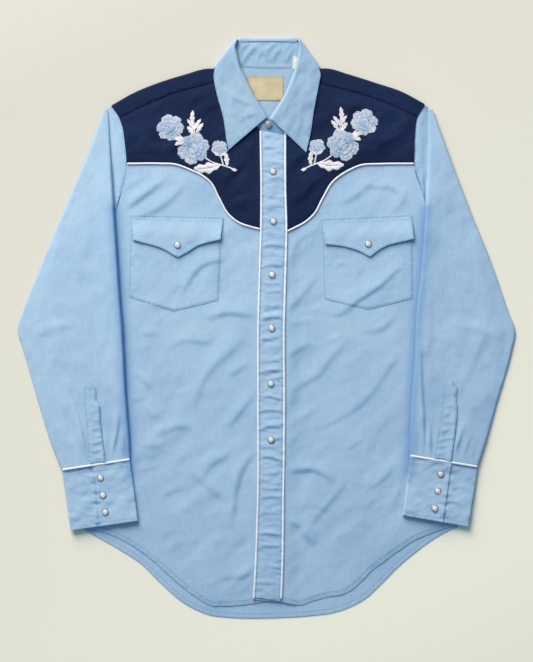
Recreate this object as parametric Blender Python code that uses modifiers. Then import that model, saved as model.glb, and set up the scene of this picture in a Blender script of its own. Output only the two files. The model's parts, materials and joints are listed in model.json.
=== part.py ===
"""A western snap shirt laid flat on its back, with its sleeves drawn in over its sides.

Frame: +Z up, and the shirt rests on Z = 0. +Y runs from the hem to the collar, +X to the right
as seen from above. Sizes are in millimetres, and MM turns them into Blender's metres. Left and
right are as seen from above.
"""
import math

import bmesh
import bpy
from mathutils import Vector, geometry

MM = 0.001
CLOTH = 1.1              # wall of one piece of cloth
SEAM = 0.4               # air between two pieces that lie on each other or meet at a seam
LAYER = CLOTH + SEAM     # rise from one piece to the next one on it
FRONT_PITCH = 27.0       # spacing of a front's points
BACK_PITCH = 46.0        # spacing of the flat back's points
EDGE_STEP = 17.0         # longest edge round a curved outline
LINING_EDGE = 200.0      # Y of the seam between the back and its yoke, and of the lining's edge
PIPING_RADIUS = 1.2
CUFF_PIPING_RADIUS = 1.0
SNAP_RADIUS = 5.3
SNAP_HEIGHT = 2.5
SNAP_SIDES = 12

LIGHT_BLUE = (0.36, 0.53, 0.72)
NAVY = (0.012, 0.026, 0.075)
WHITE = (0.80, 0.80, 0.82)
CREAM = (0.62, 0.55, 0.38)
PEARL = (0.62, 0.61, 0.58)

# Each list below runs from the collar down. LEFT and RIGHT index the two sides.
LEFT, RIGHT = 0, 1
SIDES = ("left", "right")

# Shoulder fold, from the armhole to the neck: the top edge of the flat shirt.
SHOULDER = (
    ((-218.5, 316), (-187.5, 333.5), (-157.5, 346), (-115, 359.5), (-82, 368), (-70.5, 368)),
    ((224.5, 318), (190.5, 336), (157.5, 347), (118, 359.5), (85, 368.2), (74.5, 368)),
)
# Seam in front of the shoulder, where the back yoke meets the front yoke.
SHOULDER_SEAM = (
    ((-207.5, 299), (-177.5, 314), (-133.5, 332.5), (-75.5, 349), (-64.5, 352.7)),
    ((214.5, 299.5), (184.5, 314), (137.5, 331.5), (76.5, 348), (70.5, 350)),
)
SHOULDER_ROUND = 2.5     # how far the shoulder's edge lies past the line its fold turns about
SHOULDER_BULGE = 1.0     # how far the inside of that fold bulges past the line
TUCK = 6.5               # how far the fronts run on under the shoulder seam

# Armhole seam, from the shoulder to the foot of the yoke, and on to the underarm.
ARMHOLE_YOKE = (
    ((-218.5, 316), (-209.5, 301.5), (-204.5, 288.5), (-199.5, 257), (-197, 233)),
    ((224.5, 318), (214, 298), (211, 274), (210, 252), (210, 234.5)),
)
ARMHOLE_BODY = (
    ((-197, 233), (-200, 215), (-204, 198.5), (-212.5, 167.5), (-224.5, 146.5), (-257.5, 111)),
    ((210, 234.5), (212.5, 217.5), (219.5, 198.5), (226, 176), (244, 136.5), (261.5, 111)),
)
SIDE_SEAM = (
    ((-257.5, 111), (-255.5, -3), (-257, -145), (-259.5, -284.5)),
    ((261.5, 111), (264, -3), (269, -145), (272.5, -281.5)),
)
# Neck seam, from the centre front round to the neck point, then across the back.
NECK_FRONT = (
    ((-7, 275.5), (-22, 285.5), (-37, 302), (-50, 323), (-59, 343.5), (-62, 356.5), (-64.5, 367.5)),
    ((25.5, 275.5), (41, 287), (54, 304), (63, 325), (67, 346), (68.3, 358), (69, 367.5)),
)
NECK_BACK = ((-64, 365), (-50, 369), (-37, 371.5), (-18, 370.5), (3, 369.8), (20, 369.8),
             (37, 370.3), (52, 368.5), (68, 365))

# Lower edge of each front yoke, from the armhole to the placket.
YOKE_EDGE = (
    ((-197, 234), (-150.5, 234), (-129, 233), (-106.5, 225), (-92.5, 218.5), (-78, 207.5),
     (-65.5, 184.5), (-52.5, 162), (-38.5, 150.5), (-21.5, 144.5), (-9.8, 141.5)),
    ((210, 234), (162, 233.5), (133.5, 231.5), (118, 225), (93.5, 207.5), (79.5, 184.5),
     (67.5, 162.5), (54, 150.5), (41, 143.5), (30.8, 138.5)),
)
# Centre lines of the placket's two lines of piping: Y, left, right.
PLACKET_LINES = (
    (272.5, -7.5, 27.5), (199, -6.5, 27.5), (139, -7, 29.0), (74, -9, 27.5), (-3, -11, 25.5),
    (-102, -11, 26.0), (-243, -11.5, 24.5), (-343.5, -15, 23), (-384, -17.2, 21.5),
)
PLACKET_TOP = 274.5
PLACKET_FOOT = (-381.5, -387.5)

FRONT_HEM = (
    ((-259.5, -284.5), (-228.5, -290.5), (-207.5, -299.5), (-186, -311.5), (-164.5, -327),
     (-140, -349), (-115, -370.5), (-93.5, -386), (-79.5, -394), (-65.5, -395), (-37, -393.5),
     (-8.5, -390), (24, -386)),
    ((272.5, -281.5), (254, -285), (233, -292), (211.5, -301), (190.5, -315), (165.5, -333),
     (147.5, -347), (133.5, -362), (119.5, -373), (105, -379), (91, -381), (62.5, -389),
     (48.5, -393.5), (34, -391.5), (23.5, -389)),
)
BACK_HEM = (
    (-260.5, -285.5), (-207.5, -315), (-179, -333.5), (-150.5, -361.5), (-115, -391.5),
    (-79.5, -407.5), (-51, -411), (-8.5, -412), (27, -411), (62.5, -408.5), (98, -403.5),
    (119.5, -396), (140.5, -384.5), (165.5, -361.5), (190.5, -336.5), (211.5, -319),
    (233, -303), (254, -290.5), (273.5, -282),
)

POCKET = (
    ((-191, 145), (-62.5, 142), (-64, 122), (-67.5, 39), (-130.5, 23.5), (-194.5, 44), (-192.5, 122.5)),
    ((79, 140.5), (207.5, 145), (207.5, 124), (208, 41.5), (145.5, 26), (82.5, 41), (81, 116)),
)
# Each flap: its two upper corners, then its lower edge with its point in the middle.
FLAP_TOP = (((-191.5, 160), (-60.5, 156.5)), ((77.5, 154), (206.5, 160)))
FLAP_EDGE = (
    ((-64.5, 125.5), (-80, 122), (-98.5, 116), (-109, 109), (-125, 100.5),
     (-134.5, 105.5), (-145.5, 112), (-163, 118), (-176.5, 121.5), (-189.5, 125.5)),
    ((209.5, 126.5), (190.5, 122), (171.5, 117), (159, 110), (147.5, 101),
     (132, 109), (119.5, 113.5), (102, 117), (83, 119)),
)
FLAP_STEP = (156.2, 147.4)     # Y between which a flap climbs from the front onto its pocket
LINING_STEP = (186.3, 173.0)   # Y between which the fronts climb onto the lining's edge
LAP_STEP = (32.3, 52.3)        # X between which the right front climbs onto the left one

# Each sleeve's rings: Y, then X of the edge beside the body and of the outer edge.
SLEEVE_RINGS = (
    ((306, -224.8, -229.4), (253, -221.5, -250), (167.5, -215, -285.5), (82.5, -209.5, -321),
     (25.5, -205.5, -343.5), (-4.5, -203, -352), (-24, -202, -346), (-109.5, -197.5, -321),
     (-163.5, -193.5, -304), (-205, -192.5, -287)),
    ((307.5, 231.2, 236.0), (253, 230, 255.5), (167.5, 226, 288.5), (82.5, 220, 322.5),
     (25.5, 213.5, 342), (-7, 212, 353), (-28.5, 211.5, 349), (-109.5, 206, 326),
     (-163.5, 204, 310.5), (-205, 204.5, 297)),
)
ELBOW = 5                # the row at the elbow
UPPER_RINGS = 13         # rings from a sleeve's top to its elbow
LOWER_RINGS = 8          # rings from its elbow to its cuff
SLEEVE_AIR = 0.8         # air inside a flat sleeve
EDGE_ROUND = 0.5         # how far the fold at a flat tube's edge bulges
SLEEVE_TILT = 14.0       # how much lower the outer edge meets the cuff than the inner edge
# The sleeve lies on the body up to this line, Y and X, and then slopes down to rest beside it.
BODY_LINE = (
    ((309.5, -235.5), (253, -231.5), (167.5, -227), (139, -234.5), (111, -261.5), (-145, -261.5),
     (-294, -263.5)),
    ((309.5, 243), (253, 240), (167.5, 238.5), (139, 248.5), (111, 265), (-145, 272), (-294, 277)),
)
SLOPE = 14.0             # width of that slope
# The head of each sleeve, the strip between the armhole seam and the fold over it:
# Y and X at the armhole, X just under the fold, Y and X of its end inside the fold.
SLEEVE_HEAD = (
    ((314.6, -219.3, -223.8, 308.2, -227.1), (301.5, -210.5, -224.3, 299.0, -228.5),
     (288.5, -205.2, -223.4, 288.5, -229.5), (257.0, -200.2, -221.0, 257.0, -228.0),
     (228.0, -198.6, -218.8, 228.0, -225.8), (198.5, -204.7, -216.4, 198.5, -223.4),
     (173.0, -211.8, -214.6, 173.0, -222.0)),
    ((316.2, 225.4, 230.2, 309.4, 233.6), (301.5, 216.8, 231.0, 299.0, 235.2),
     (288.5, 213.0, 231.2, 288.5, 236.8), (257.0, 211.0, 229.2, 257.0, 236.0),
     (228.0, 211.4, 227.8, 228.0, 235.0), (198.5, 220.2, 226.4, 198.5, 233.0),
     (184.0, 224.0, 225.8, 184.0, 232.6)),
)
HEAD_WALL = 1.0
HEAD_OVERLAP = 0.05      # how far the strip's end stands above the sleeve's underside


# Cuff corners at the piping and at the wrist, each beside the body and at the outer edge,
# and the end that lies on top.
CUFF_TOP = (((-192.5, -188.6), (-288.5, -203.6)), ((204.5, -183.6), (300, -199)))
CUFF_WRIST = (((-181.5, -273), (-276.5, -286.6)), ((193.5, -265), (287, -281.5)))
CUFF_LAP = (((-246, -197), (-237.5, -277.5)), ((262.5, -194), (250.5, -272.5)))
CUFF_PIPING = (((-193, -186.3), (-288.5, -201)), ((204.6, -181.1), (300, -196.6)))
CUFF_AIR = 0.6           # air inside a closed cuff
CUFF_HIDDEN = 0.14       # share of the width that its lower end runs on under the upper one
CUFF_SNAPS = (
    ((-234.5, -212.5), (-231, -237), (-227.5, -261)),
    ((247.5, -207), (243.5, -231), (239, -255.5)),
)
SLEEVE_PLACKET = (
    ((-250.5, -76.5), (-257.5, -84.5), (-257, -102), (-255, -130), (-252.5, -159), (-249.9, -188),
     (-227.8, -184.6), (-231.5, -160), (-235, -130.5), (-235.5, -109.5), (-241, -102), (-241, -86)),
    ((261.5, -73), (271, -84), (269.5, -99.5), (271, -116.5), (267, -155), (262.6, -184.8),
     (238, -180.2), (242, -166), (245.5, -145), (251.5, -103.5), (253, -79.5)),
)

# Collar leaf: the line it rolls about and its outer edge, from the centre front to the fold.
LEAF_ROLL = (
    ((0.5, 298), (-8.5, 312.5), (-17, 326.5), (-25.5, 343.5), (-31, 355), (-37, 367),
     (-41, 383.5), (-44, 398)),
    ((6.5, 296), (20, 316.5), (28.5, 331), (34, 343.5), (39, 356.5), (42.5, 368.5),
     (46.5, 383.5), (48.3, 397)),
)
LEAF_EDGE = (
    ((-53.5, 251.8), (-56, 265), (-58, 281), (-61, 299.5), (-65, 314), (-69, 328),
     (-72.3, 343), (-74.3, 357)),
    ((57, 248.5), (60.5, 264), (64, 281), (66.5, 299.5), (69.5, 316.5), (72.5, 332.5),
     (75.5, 348), (77.3, 359)),
)
LEAF_FOLD = (((-41.4, 408.3), (-72.4, 368.8)), ((46.5, 408.3), (74.8, 368.5)))
# The leaf behind the neck: X and Y at its top, X and Y at its lower edge.
LEAF_BACK = (
    (-38, 410, -60, 370.6), (-20, 410, -36, 373.4), (3, 410, 3, 372), (26, 410, 40, 372.6),
    (43, 410, 63.5, 370.6),
)
LEAF_HEIGHT = 8.6        # underside of the leaf where it rolls
LEAF_REST = 6.1          # underside of the leaf at its edge, on the yoke
LEAF_WIDTHS = (0.0, 0.22, 0.46, 0.72, 1.0)
LEAF_CURVE = 0.8         # how soon the leaf comes down from its roll
LEAF_DROP = 1.5          # how far the roll's inner edge turns down
# The fold at the side of the neck: share of its height and how far it bulges.
LEAF_TURN = ((1.0, 0.0), (0.8, 1.1), (0.5, 1.6), (0.2, 1.1), (0.0, 0.0))
STAND_TURN = ((0.75, 0.4), (0.25, 0.4))
NOSE = 1.8               # how far the stand's upper edge stays behind the leaf's roll
# Collar stand: its upper edge and the neck seam, from the end at the centre front to the fold.
STAND_TOP = (
    ((9, 293), (2, 297.5), (-8.5, 311.5), (-17, 326), (-25.5, 343), (-32, 356), (-37.5, 368),
     (-41.5, 384), (-43.6, 396.5)),
    ((-6, 290.5), (7, 296), (19.5, 316), (28, 331), (34.5, 345), (40, 359), (43.5, 369),
     (46.5, 384), (47.9, 396.5)),
)
STAND_END = ((9, 275.5), (-7.5, 275.5))
STAND_NECK = ((-64.0, 369.3), (68.4, 369.3))
STAND_FOLD = (((-40.0, 406.5), (-63.4, 371.2)), ((45.0, 406.5), (67.6, 371.2)))
STAND_BACK_TOP = 406.0
STAND_HEIGHT = 7.0       # underside of the stand at its upper edge
STAND_SINK = 1.6         # how much lower it is where it turns round the side of the neck
STAND_WIDTH = 24.0       # width over which it rises to its height
STAND_SLOPE = 0.2        # rise of its ends at the centre front, for each millimetre from the seam
STAND_WIDTHS = (0.0, 0.34, 0.67, 1.0)

TAPE = 1.0               # thickness of the two labels
LABEL = ((-26, 323), (24, 322.5), (25, 357.5), (-26, 358))
SIZE_TAB = ((37, 367.5), (43.5, 366.5), (45.3, 384), (38.7, 386))
PLACKET_SNAPS = ((10, 221.5), (10.5, 151), (8.5, 75.5), (8, -0.5), (7, -79), (7, -158.5))
STAND_SNAP = (3.5, 288.2)
FLAP_SNAPS = ((-125.5, 117.5), (145, 119))

# Lines across the cloth where the heights above change slope: axis and place.
LINING_BENDS = ((1, LINING_STEP[0]), (1, LINING_STEP[1]))
LAP_BENDS = ((0, LAP_STEP[0]), (0, LAP_STEP[1]))
# Largest folds in the fronts: ends, rise and half width.
FOLDS = (
    (-84, 24, -18, 24, 1.6, 15), (-123, 57, -66, 99, 1.0, 16), (-103, -92, -36, -10, 1.6, 17),
    (-60, -133, -20, -88, 1.8, 14), (-56, -290, -22, -170, 2.0, 15), (-150, -180, -90, -260, 1.2, 20),
    (72, 24, 182, 90, 1.2, 16), (34, -34, 78, -4, 1.6, 14), (60, -146, 140, -100, 1.8, 17),
    (38, -196, 84, -202, 1.8, 14), (120, -250, 182, -188, 1.8, 17), (50, -274, 82, -312, 1.6, 15),
)
# Long folds down each sleeve: share of the width from the inner edge, Y range, rise.
SLEEVE_FOLDS = ((0.22, 240.0, -120.0, 1.4), (0.62, 150.0, -60.0, 1.1), (0.80, -60.0, -190.0, 1.2))


def smooth(amount):
    """Ease from 0 to 1."""
    amount = min(max(amount, 0.0), 1.0)
    return amount * amount * (3 - 2 * amount)


def between(start, end, amount):
    """The point or number that lies this share of the way from start to end."""
    if isinstance(start, (tuple, Vector)):
        return tuple(a + (b - a) * amount for a, b in zip(start, end))
    return start + (end - start) * amount


def row_at(rows, y):
    """Read the other columns of a table at height y; the first column falls down the rows."""
    for upper, lower in zip(rows, rows[1:]):
        if y >= lower[0]:
            return between(upper[1:], lower[1:], min(max((upper[0] - y) / (upper[0] - lower[0]), 0), 1))
    return rows[-1][1:]


def through(points, step=EDGE_STEP):
    """Points along a smooth curve through the given ones."""
    points = [Vector(p) for p in points]
    ends = [2 * points[0] - points[1]] + points + [2 * points[-1] - points[-2]]
    curve = []
    for before, start, end, after in zip(ends, ends[1:], ends[2:], ends[3:]):
        parts = max(1, round((end - start).length / step))
        for part in range(parts):
            t = part / parts
            curve.append(tuple(0.5 * (2 * start + (end - before) * t
                                      + (2 * before - 5 * start + 4 * end - after) * t ** 2
                                      + (3 * start - before - 3 * end + after) * t ** 3)))
    return curve + [tuple(points[-1])]


def resample(points, count):
    """This many points, evenly spaced along a smooth curve through the given ones."""
    line = [Vector(p) for p in through(points, 3.0)]
    lengths = [0.0]
    for start, end in zip(line, line[1:]):
        lengths.append(lengths[-1] + (end - start).length)
    result = []
    for index in range(count):
        target = lengths[-1] * index / (count - 1)
        place = max(k for k, length in enumerate(lengths[:-1]) if length <= target)
        share = (target - lengths[place]) / (lengths[place + 1] - lengths[place])
        result.append(tuple(line[place].lerp(line[place + 1], share)))
    return result


def straight(points, step=EDGE_STEP * 1.5):
    """Points along straight lines between the given ones."""
    line = []
    for start, end in zip(points, points[1:]):
        parts = max(1, round((Vector(end) - Vector(start)).length / step))
        line += [between(start, end, part / parts) for part in range(parts)]
    return line + [points[-1]]


def shifted(points, distance):
    """The line moved sideways, to the left of its own direction."""
    moved = []
    for index, point in enumerate(points):
        before = Vector(points[max(index - 1, 0)])
        after = Vector(points[min(index + 1, len(points) - 1)])
        along = (after - before).normalized()
        moved.append((point[0] - along.y * distance, point[1] + along.x * distance))
    return moved


def outline(*runs):
    """Join runs of points into one closed outline that turns anticlockwise."""
    edge = []
    for run in runs:
        for point in run:
            if not edge or (Vector(point) - Vector(edge[-1])).length > 0.5:
                edge.append(tuple(point))
    if (Vector(edge[0]) - Vector(edge[-1])).length < 0.5:
        edge.pop()
    area = sum(a[0] * b[1] - b[0] * a[1] for a, b in zip(edge, edge[1:] + edge[:1]))
    return edge if area > 0 else edge[::-1]


def inside(point, edge, margin):
    """True where the point lies in the outline and no nearer to it than the margin."""
    x, y = point
    within = False
    for (ax, ay), (bx, by) in zip(edge, edge[1:] + edge[:1]):
        if (ay > y) != (by > y) and x < (bx - ax) * (y - ay) / (by - ay) + ax:
            within = not within
        nearest = geometry.intersect_point_line(Vector(point), Vector((ax, ay)), Vector((bx, by)))
        share = min(max(nearest[1], 0.0), 1.0)
        if math.hypot(ax + (bx - ax) * share - x, ay + (by - ay) * share - y) < margin:
            return False
    return within


# --- heights of the cloth ------------------------------------------------------------------

def ramp(value, start, end):
    """Rise evenly from 0 at the start to 1 at the end."""
    return min(max((value - start) / (end - start), 0.0), 1.0)


def front_height(x, y):
    """Underside of the left front: on the back, and on the lining above its edge."""
    return LAYER * (2 - ramp(y, *LINING_STEP)) + fold_height(x, y)


def fold_height(x, y):
    """Soft folds, which die out at the placket, the sleeves and the yokes."""
    rise = 0.0
    for ax, ay, bx, by, height, half_width in FOLDS:
        length = math.hypot(bx - ax, by - ay)
        along = ((x - ax) * (bx - ax) + (y - ay) * (by - ay)) / length ** 2
        across = ((x - ax) * (by - ay) - (y - ay) * (bx - ax)) / length
        taper = max(math.sin(math.pi * (along * 0.8 + 0.1)), 0.0) if -0.125 < along < 1.125 else 0.0
        rise += height * math.exp(-(across / half_width) ** 2) * taper
    clear = smooth((188 - abs(x - 2)) / 22) * smooth((abs(x - 8) - 26) / 24) * smooth((170 - y) / 60)
    return rise * clear


def lapped_height(x, y):
    """Underside of the right front, which climbs onto the left one under the placket."""
    return front_height(x, y) + LAYER * (1 - ramp(x, *LAP_STEP))


def side_height(x, y, side):
    """Underside of whichever front is on this side."""
    return front_height(x, y) if side == LEFT else lapped_height(x, y)


def flap_height(x, y, side):
    """Underside of a pocket flap, from the front where it is sewn to the top of its pocket."""
    return side_height(x, y, side) + LAYER * (1 + ramp(y, *FLAP_STEP))


def sleeve_height(x, y, side):
    """Underside of a sleeve: on the body up to its line, then down to the ground beside it."""
    line = abs(row_at(BODY_LINE[side], y)[0])
    return 2 * LAYER * (1 - ramp(abs(x), line, line + SLOPE))


# --- making pieces -------------------------------------------------------------------------

def cloth_finish(name, colour, roughness=0.85, metallic=0.0):
    finish = bpy.data.materials.new(name)
    finish.use_nodes = True
    shader = finish.node_tree.nodes["Principled BSDF"]
    shader.inputs["Base Color"].default_value = (*colour, 1)
    shader.inputs["Roughness"].default_value = roughness
    shader.inputs["Metallic"].default_value = metallic
    return finish


def add_piece(name, mesh, finish, smooth_angle=40):
    """Put a mesh in the shirt's collection under its name."""
    piece = bpy.data.objects.new(name, mesh)
    shirt.objects.link(piece)
    mesh.materials.append(finish)
    mesh.shade_smooth()
    mesh.set_sharp_from_angle(angle=math.radians(smooth_angle))
    return piece


def thicken(piece, thickness, even=False):
    """Give an open surface its wall, on the side that its faces point to."""
    wall = piece.modifiers.new("Cloth wall", "SOLIDIFY")
    wall.thickness = thickness * MM
    wall.offset = 1
    wall.use_even_offset = even
    return piece


def face_up(mesh_data):
    """Point the faces the same way, with the highest of them upwards."""
    bmesh.ops.recalc_face_normals(mesh_data, faces=mesh_data.faces)
    top = max(mesh_data.faces, key=lambda face: face.calc_center_median().z + 0.001 * abs(face.normal.z))
    if top.normal.z < 0:
        bmesh.ops.reverse_faces(mesh_data, faces=mesh_data.faces)


def split_at(line, axis, place):
    """The line with a point put in wherever its x or y passes one value, and those points."""
    split, added = [line[0]], []
    for start, end in zip(line, line[1:]):
        if (start[axis] - place) * (end[axis] - place) < 0:
            share = (place - start[axis]) / (end[axis] - start[axis])
            added.append(between(start, end, share))
            split.append(added[-1])
        split.append(end)
    return split, added


def lay_flat(name, edge, height, finish, pitch=FRONT_PITCH, thickness=CLOTH, bends=()):
    """A piece of cloth cut to an outline, its points lying on the height function.

    Each bend is an axis and a place on it: a line where the height changes its slope.
    """
    lines = []
    for axis, place in bends:
        edge, ends = split_at(edge + edge[:1], axis, place)
        edge.pop()
        ends.sort(key=lambda p: p[1 - axis])
        lines += [straight(pair, pitch) for pair in zip(ends[::2], ends[1::2])]
    points, joins = list(edge), []
    for line in lines:
        first = len(points)
        points += line[1:-1]
        chain = [edge.index(line[0]), *range(first, len(points)), edge.index(line[-1])]
        joins += zip(chain, chain[1:])
    low_x, high_x = min(p[0] for p in edge), max(p[0] for p in edge)
    low_y, high_y = min(p[1] for p in edge), max(p[1] for p in edge)
    rows = range(math.floor(low_y / pitch / 0.866), math.ceil(high_y / pitch / 0.866) + 1)
    for row in rows:
        for column in range(math.floor(low_x / pitch) - 1, math.ceil(high_x / pitch) + 1):
            point = ((column + row % 2 / 2) * pitch, row * pitch * 0.866)
            clear = all(abs(point[axis] - place) > pitch * 0.35 for axis, place in bends)
            if clear and inside(point, edge, pitch * 0.42):
                points.append(point)
    border = [list(range(len(edge)))]
    cut = geometry.delaunay_2d_cdt([Vector(p) for p in points], joins, border, 1, 1e-4)
    cloth = bmesh.new()
    corners = [cloth.verts.new((p.x * MM, p.y * MM, height(p.x, p.y) * MM)) for p in cut[0]]
    for face in cut[2]:
        cloth.faces.new([corners[index] for index in face])
    face_up(cloth)
    mesh = bpy.data.meshes.new(name)
    cloth.to_mesh(mesh)
    cloth.free()
    return thicken(add_piece(name, mesh, finish), thickness)


def loft(name, rows, finish, closed=False, thickness=CLOTH, even=True):
    """A surface through rows of points, given its wall; a row may have gaps of None."""
    cloth = bmesh.new()
    grid = [[p and cloth.verts.new(Vector(p) * MM) for p in row] for row in rows]
    for upper, lower in zip(grid, grid[1:]):
        last = len(upper) if closed else len(upper) - 1
        for index in range(last):
            after = (index + 1) % len(upper)
            corners = [upper[index], upper[after], lower[after], lower[index]]
            if None not in corners:
                cloth.faces.new(corners)
    face_up(cloth)
    mesh = bpy.data.meshes.new(name)
    cloth.to_mesh(mesh)
    cloth.free()
    return thicken(add_piece(name, mesh, finish), thickness, even)


def add_piping(name, points, radius, finish):
    """A round cord along the points."""
    curve = bpy.data.curves.new(name, "CURVE")
    curve.dimensions = "3D"
    curve.bevel_depth = radius * MM
    curve.bevel_resolution = 1
    curve.use_fill_caps = True
    line = curve.splines.new("POLY")
    line.points.add(len(points) - 1)
    for target, point in zip(line.points, points):
        target.co = (*(Vector(point) * MM), 1)
    cord = bpy.data.objects.new(name, curve)
    curve.materials.append(finish)
    shirt.objects.link(cord)
    return cord


def snap_mesh(finish):
    """The turned profile of a pearl snap: a low domed cap inside a metal ring."""
    profile = bmesh.new()
    shape = ((0.0, 1.0), (0.49, 0.88), (0.70, 0.52), (0.81, 0.76), (0.98, 0.52), (1.0, 0.0), (0.0, 0.0))
    points = [profile.verts.new((r * SNAP_RADIUS * MM, 0, h * SNAP_HEIGHT * MM)) for r, h in shape]
    for start, end in zip(points, points[1:]):
        profile.edges.new((start, end))
    mesh = bpy.data.meshes.new("snap")
    profile.to_mesh(mesh)
    profile.free()
    mesh.materials.append(finish)
    return mesh


def add_snap(name, mesh, place, height):
    """One snap on the surface whose height function is given, square to it."""
    x, y = place
    base = height(x, y)
    slope_x = (height(x + 3, y) - height(x - 3, y)) / 6
    slope_y = (height(x, y + 3) - height(x, y - 3)) / 6
    snap = bpy.data.objects.new(name, mesh)
    shirt.objects.link(snap)
    snap.location = Vector((x, y, base)) * MM
    snap.rotation_mode = "QUATERNION"
    snap.rotation_quaternion = Vector((0, 0, 1)).rotation_difference(Vector((-slope_x, -slope_y, 1)))
    turn = snap.modifiers.new("Turned", "SCREW")
    turn.steps = SNAP_SIDES
    turn.render_steps = SNAP_SIDES
    turn.use_merge_vertices = True
    turn.merge_threshold = 0.0001
    return snap


# --- the shirt's pieces ----------------------------------------------------------------------

def make_back(blue, navy):
    """The flat back, its yoke folded forward over the shoulders, and the lining inside it."""
    left, right = ARMHOLE_BODY
    left_low = [p for p in through(left) if p[1] < LINING_EDGE - 1]
    right_low = [p for p in through(right) if p[1] < LINING_EDGE - 1]
    seam = ((-203.6, LINING_EDGE - SEAM), (219.0, LINING_EDGE - SEAM))
    edge = outline([seam[0]], left_low, through(SIDE_SEAM[LEFT], 60), through(BACK_HEM),
                   through(SIDE_SEAM[RIGHT], 60)[::-1], right_low[::-1], straight(seam[::-1], 50))
    lay_flat("back", edge, lambda x, y: 0.0, blue, BACK_PITCH)
    make_back_yoke(navy)
    lined = [(x * 0.988, y - 2) for x, y in shoulder_line()]
    armholes = (((-204, 289), (-199, 262), (-195.8, 234), (-201.5, LINING_EDGE + 1)),
                ((217, LINING_EDGE + 1), (208.8, 236), (209, 262), (211.8, 290)))
    edge = outline(lined[::-1], *armholes)
    lay_flat("yoke_lining", edge, lambda x, y: LAYER, blue, BACK_PITCH)


def shoulder_line():
    """The top edge that the back yoke turns about, from one armhole to the other."""
    left = resample(SHOULDER[LEFT], 6)
    right = resample(SHOULDER[RIGHT], 6)[::-1]
    turn = [(x, y - SHOULDER_ROUND) for x, y in left]
    turn += list(NECK_BACK)
    return turn + [(x, y - SHOULDER_ROUND) for x, y in right]


def make_back_yoke(navy):
    """Rows climb from the seam to the shoulders, go over them, and end at the seam in front."""
    top = shoulder_line()
    first, last = top[0], top[-1]
    armholes = []
    for side in (LEFT, RIGHT):
        line = through(ARMHOLE_BODY[side])[::-1] + through(ARMHOLE_YOKE[side])[::-1]
        line.sort(key=lambda p: -p[1])
        armholes.append([(p[1], p[0]) for p in line])
    rows = []
    for share in (0.0, 0.3, 0.58, 0.8, 0.93, 1.0):
        row = []
        for x, y in top:
            across = (x - first[0]) / (last[0] - first[0])
            height = between(LINING_EDGE, y, share)
            ends = [row_at(armholes[side], between(LINING_EDGE, (first, last)[side][1], share))[0]
                    for side in (LEFT, RIGHT)]
            place = between(between(ends[LEFT], ends[RIGHT], across), x, smooth(share))
            row.append((place, height, CLOTH))
        rows.append(row)
    seams = resample(SHOULDER_SEAM[LEFT], 6), resample(SHOULDER_SEAM[RIGHT], 6)[::-1]
    front = seams[LEFT] + [None] * len(NECK_BACK) + seams[RIGHT]
    low, high = CLOTH, 3 * LAYER
    bulge = SHOULDER_BULGE
    for out, rise, share in ((bulge, 0.3, 0), (bulge, 0.7, 0), (0, 1, 0), (0, 1, 0.5), (0, 1, 1)):
        row = []
        for (x, y), end in zip(top, front):
            if end is None:
                row.append(None)
                continue
            px, py = between((x, y), end, share)
            row.append((px, py + out, between(low, high, rise)))
        rows.append(row)
    loft("back_yoke", rows, navy, even=False)


def front_edge(side):
    """Outline of a front from the neck round the armhole, side and hem."""
    seam = resample(SHOULDER_SEAM[side], 7)[:-1]
    tucked = [(x, y + TUCK) for x, y in seam][::-1]
    armhole = through(ARMHOLE_YOKE[side])[2:] + through(ARMHOLE_BODY[side])[1:]
    return [NECK_FRONT[side][:-1], tucked, armhole, through(SIDE_SEAM[side], 26)[1:],
            through(FRONT_HEM[side])[1:]]


def make_fronts(blue):
    left = front_edge(LEFT) + [straight([(24, -386), (23.5, -100), (24, 275.5)])]
    lay_flat("front_left", outline(*left), front_height, blue, bends=LINING_BENDS)
    centre = [(left_x - PIPING_RADIUS - SEAM, y) for y, left_x, right_x in PLACKET_LINES]
    foot = centre[-1][0]
    right = front_edge(RIGHT) + [[(foot, -385.5)], straight(centre[::-1]), [(centre[0][0], 275.5)]]
    lay_flat("front_right", outline(*right), lapped_height, blue, bends=LINING_BENDS + LAP_BENDS)


def make_yokes(navy, white):
    """Front yokes on the fronts, with a line of piping along the lower edge of each."""
    inner = (-10.2, 31.0)
    for side, word in enumerate(SIDES):
        seam = [(x, y - SEAM - 0.2) for x, y in resample(SHOULDER_SEAM[side], 7)]
        armhole = [(x, y) for x, y in through(ARMHOLE_YOKE[side]) if y < seam[0][1] - 2]
        lower = through(YOKE_EDGE[side])
        turn = [p for p in NECK_FRONT[side] if abs(p[0]) > abs(inner[side]) and p[1] < seam[-1][1] - 3]
        neck = [(inner[side], 277.5)] + turn
        edge = outline(seam[::-1], armhole[:-1], lower, straight([lower[-1], neck[0]]), neck)

        def on_front(x, y, side=side):
            return side_height(x, y, side) + LAYER

        bends = LINING_BENDS + (LAP_BENDS if side == RIGHT else ())
        lay_flat("yoke_front_" + word, edge, on_front, navy, bends=bends)
        away = PIPING_RADIUS + SEAM
        cord = shifted(lower, -away if side == LEFT else away)
        cord = [(x, y, on_front(x, y, side) + PIPING_RADIUS) for x, y in cord]
        add_piping("yoke_piping_" + word, cord, PIPING_RADIUS, white)


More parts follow.
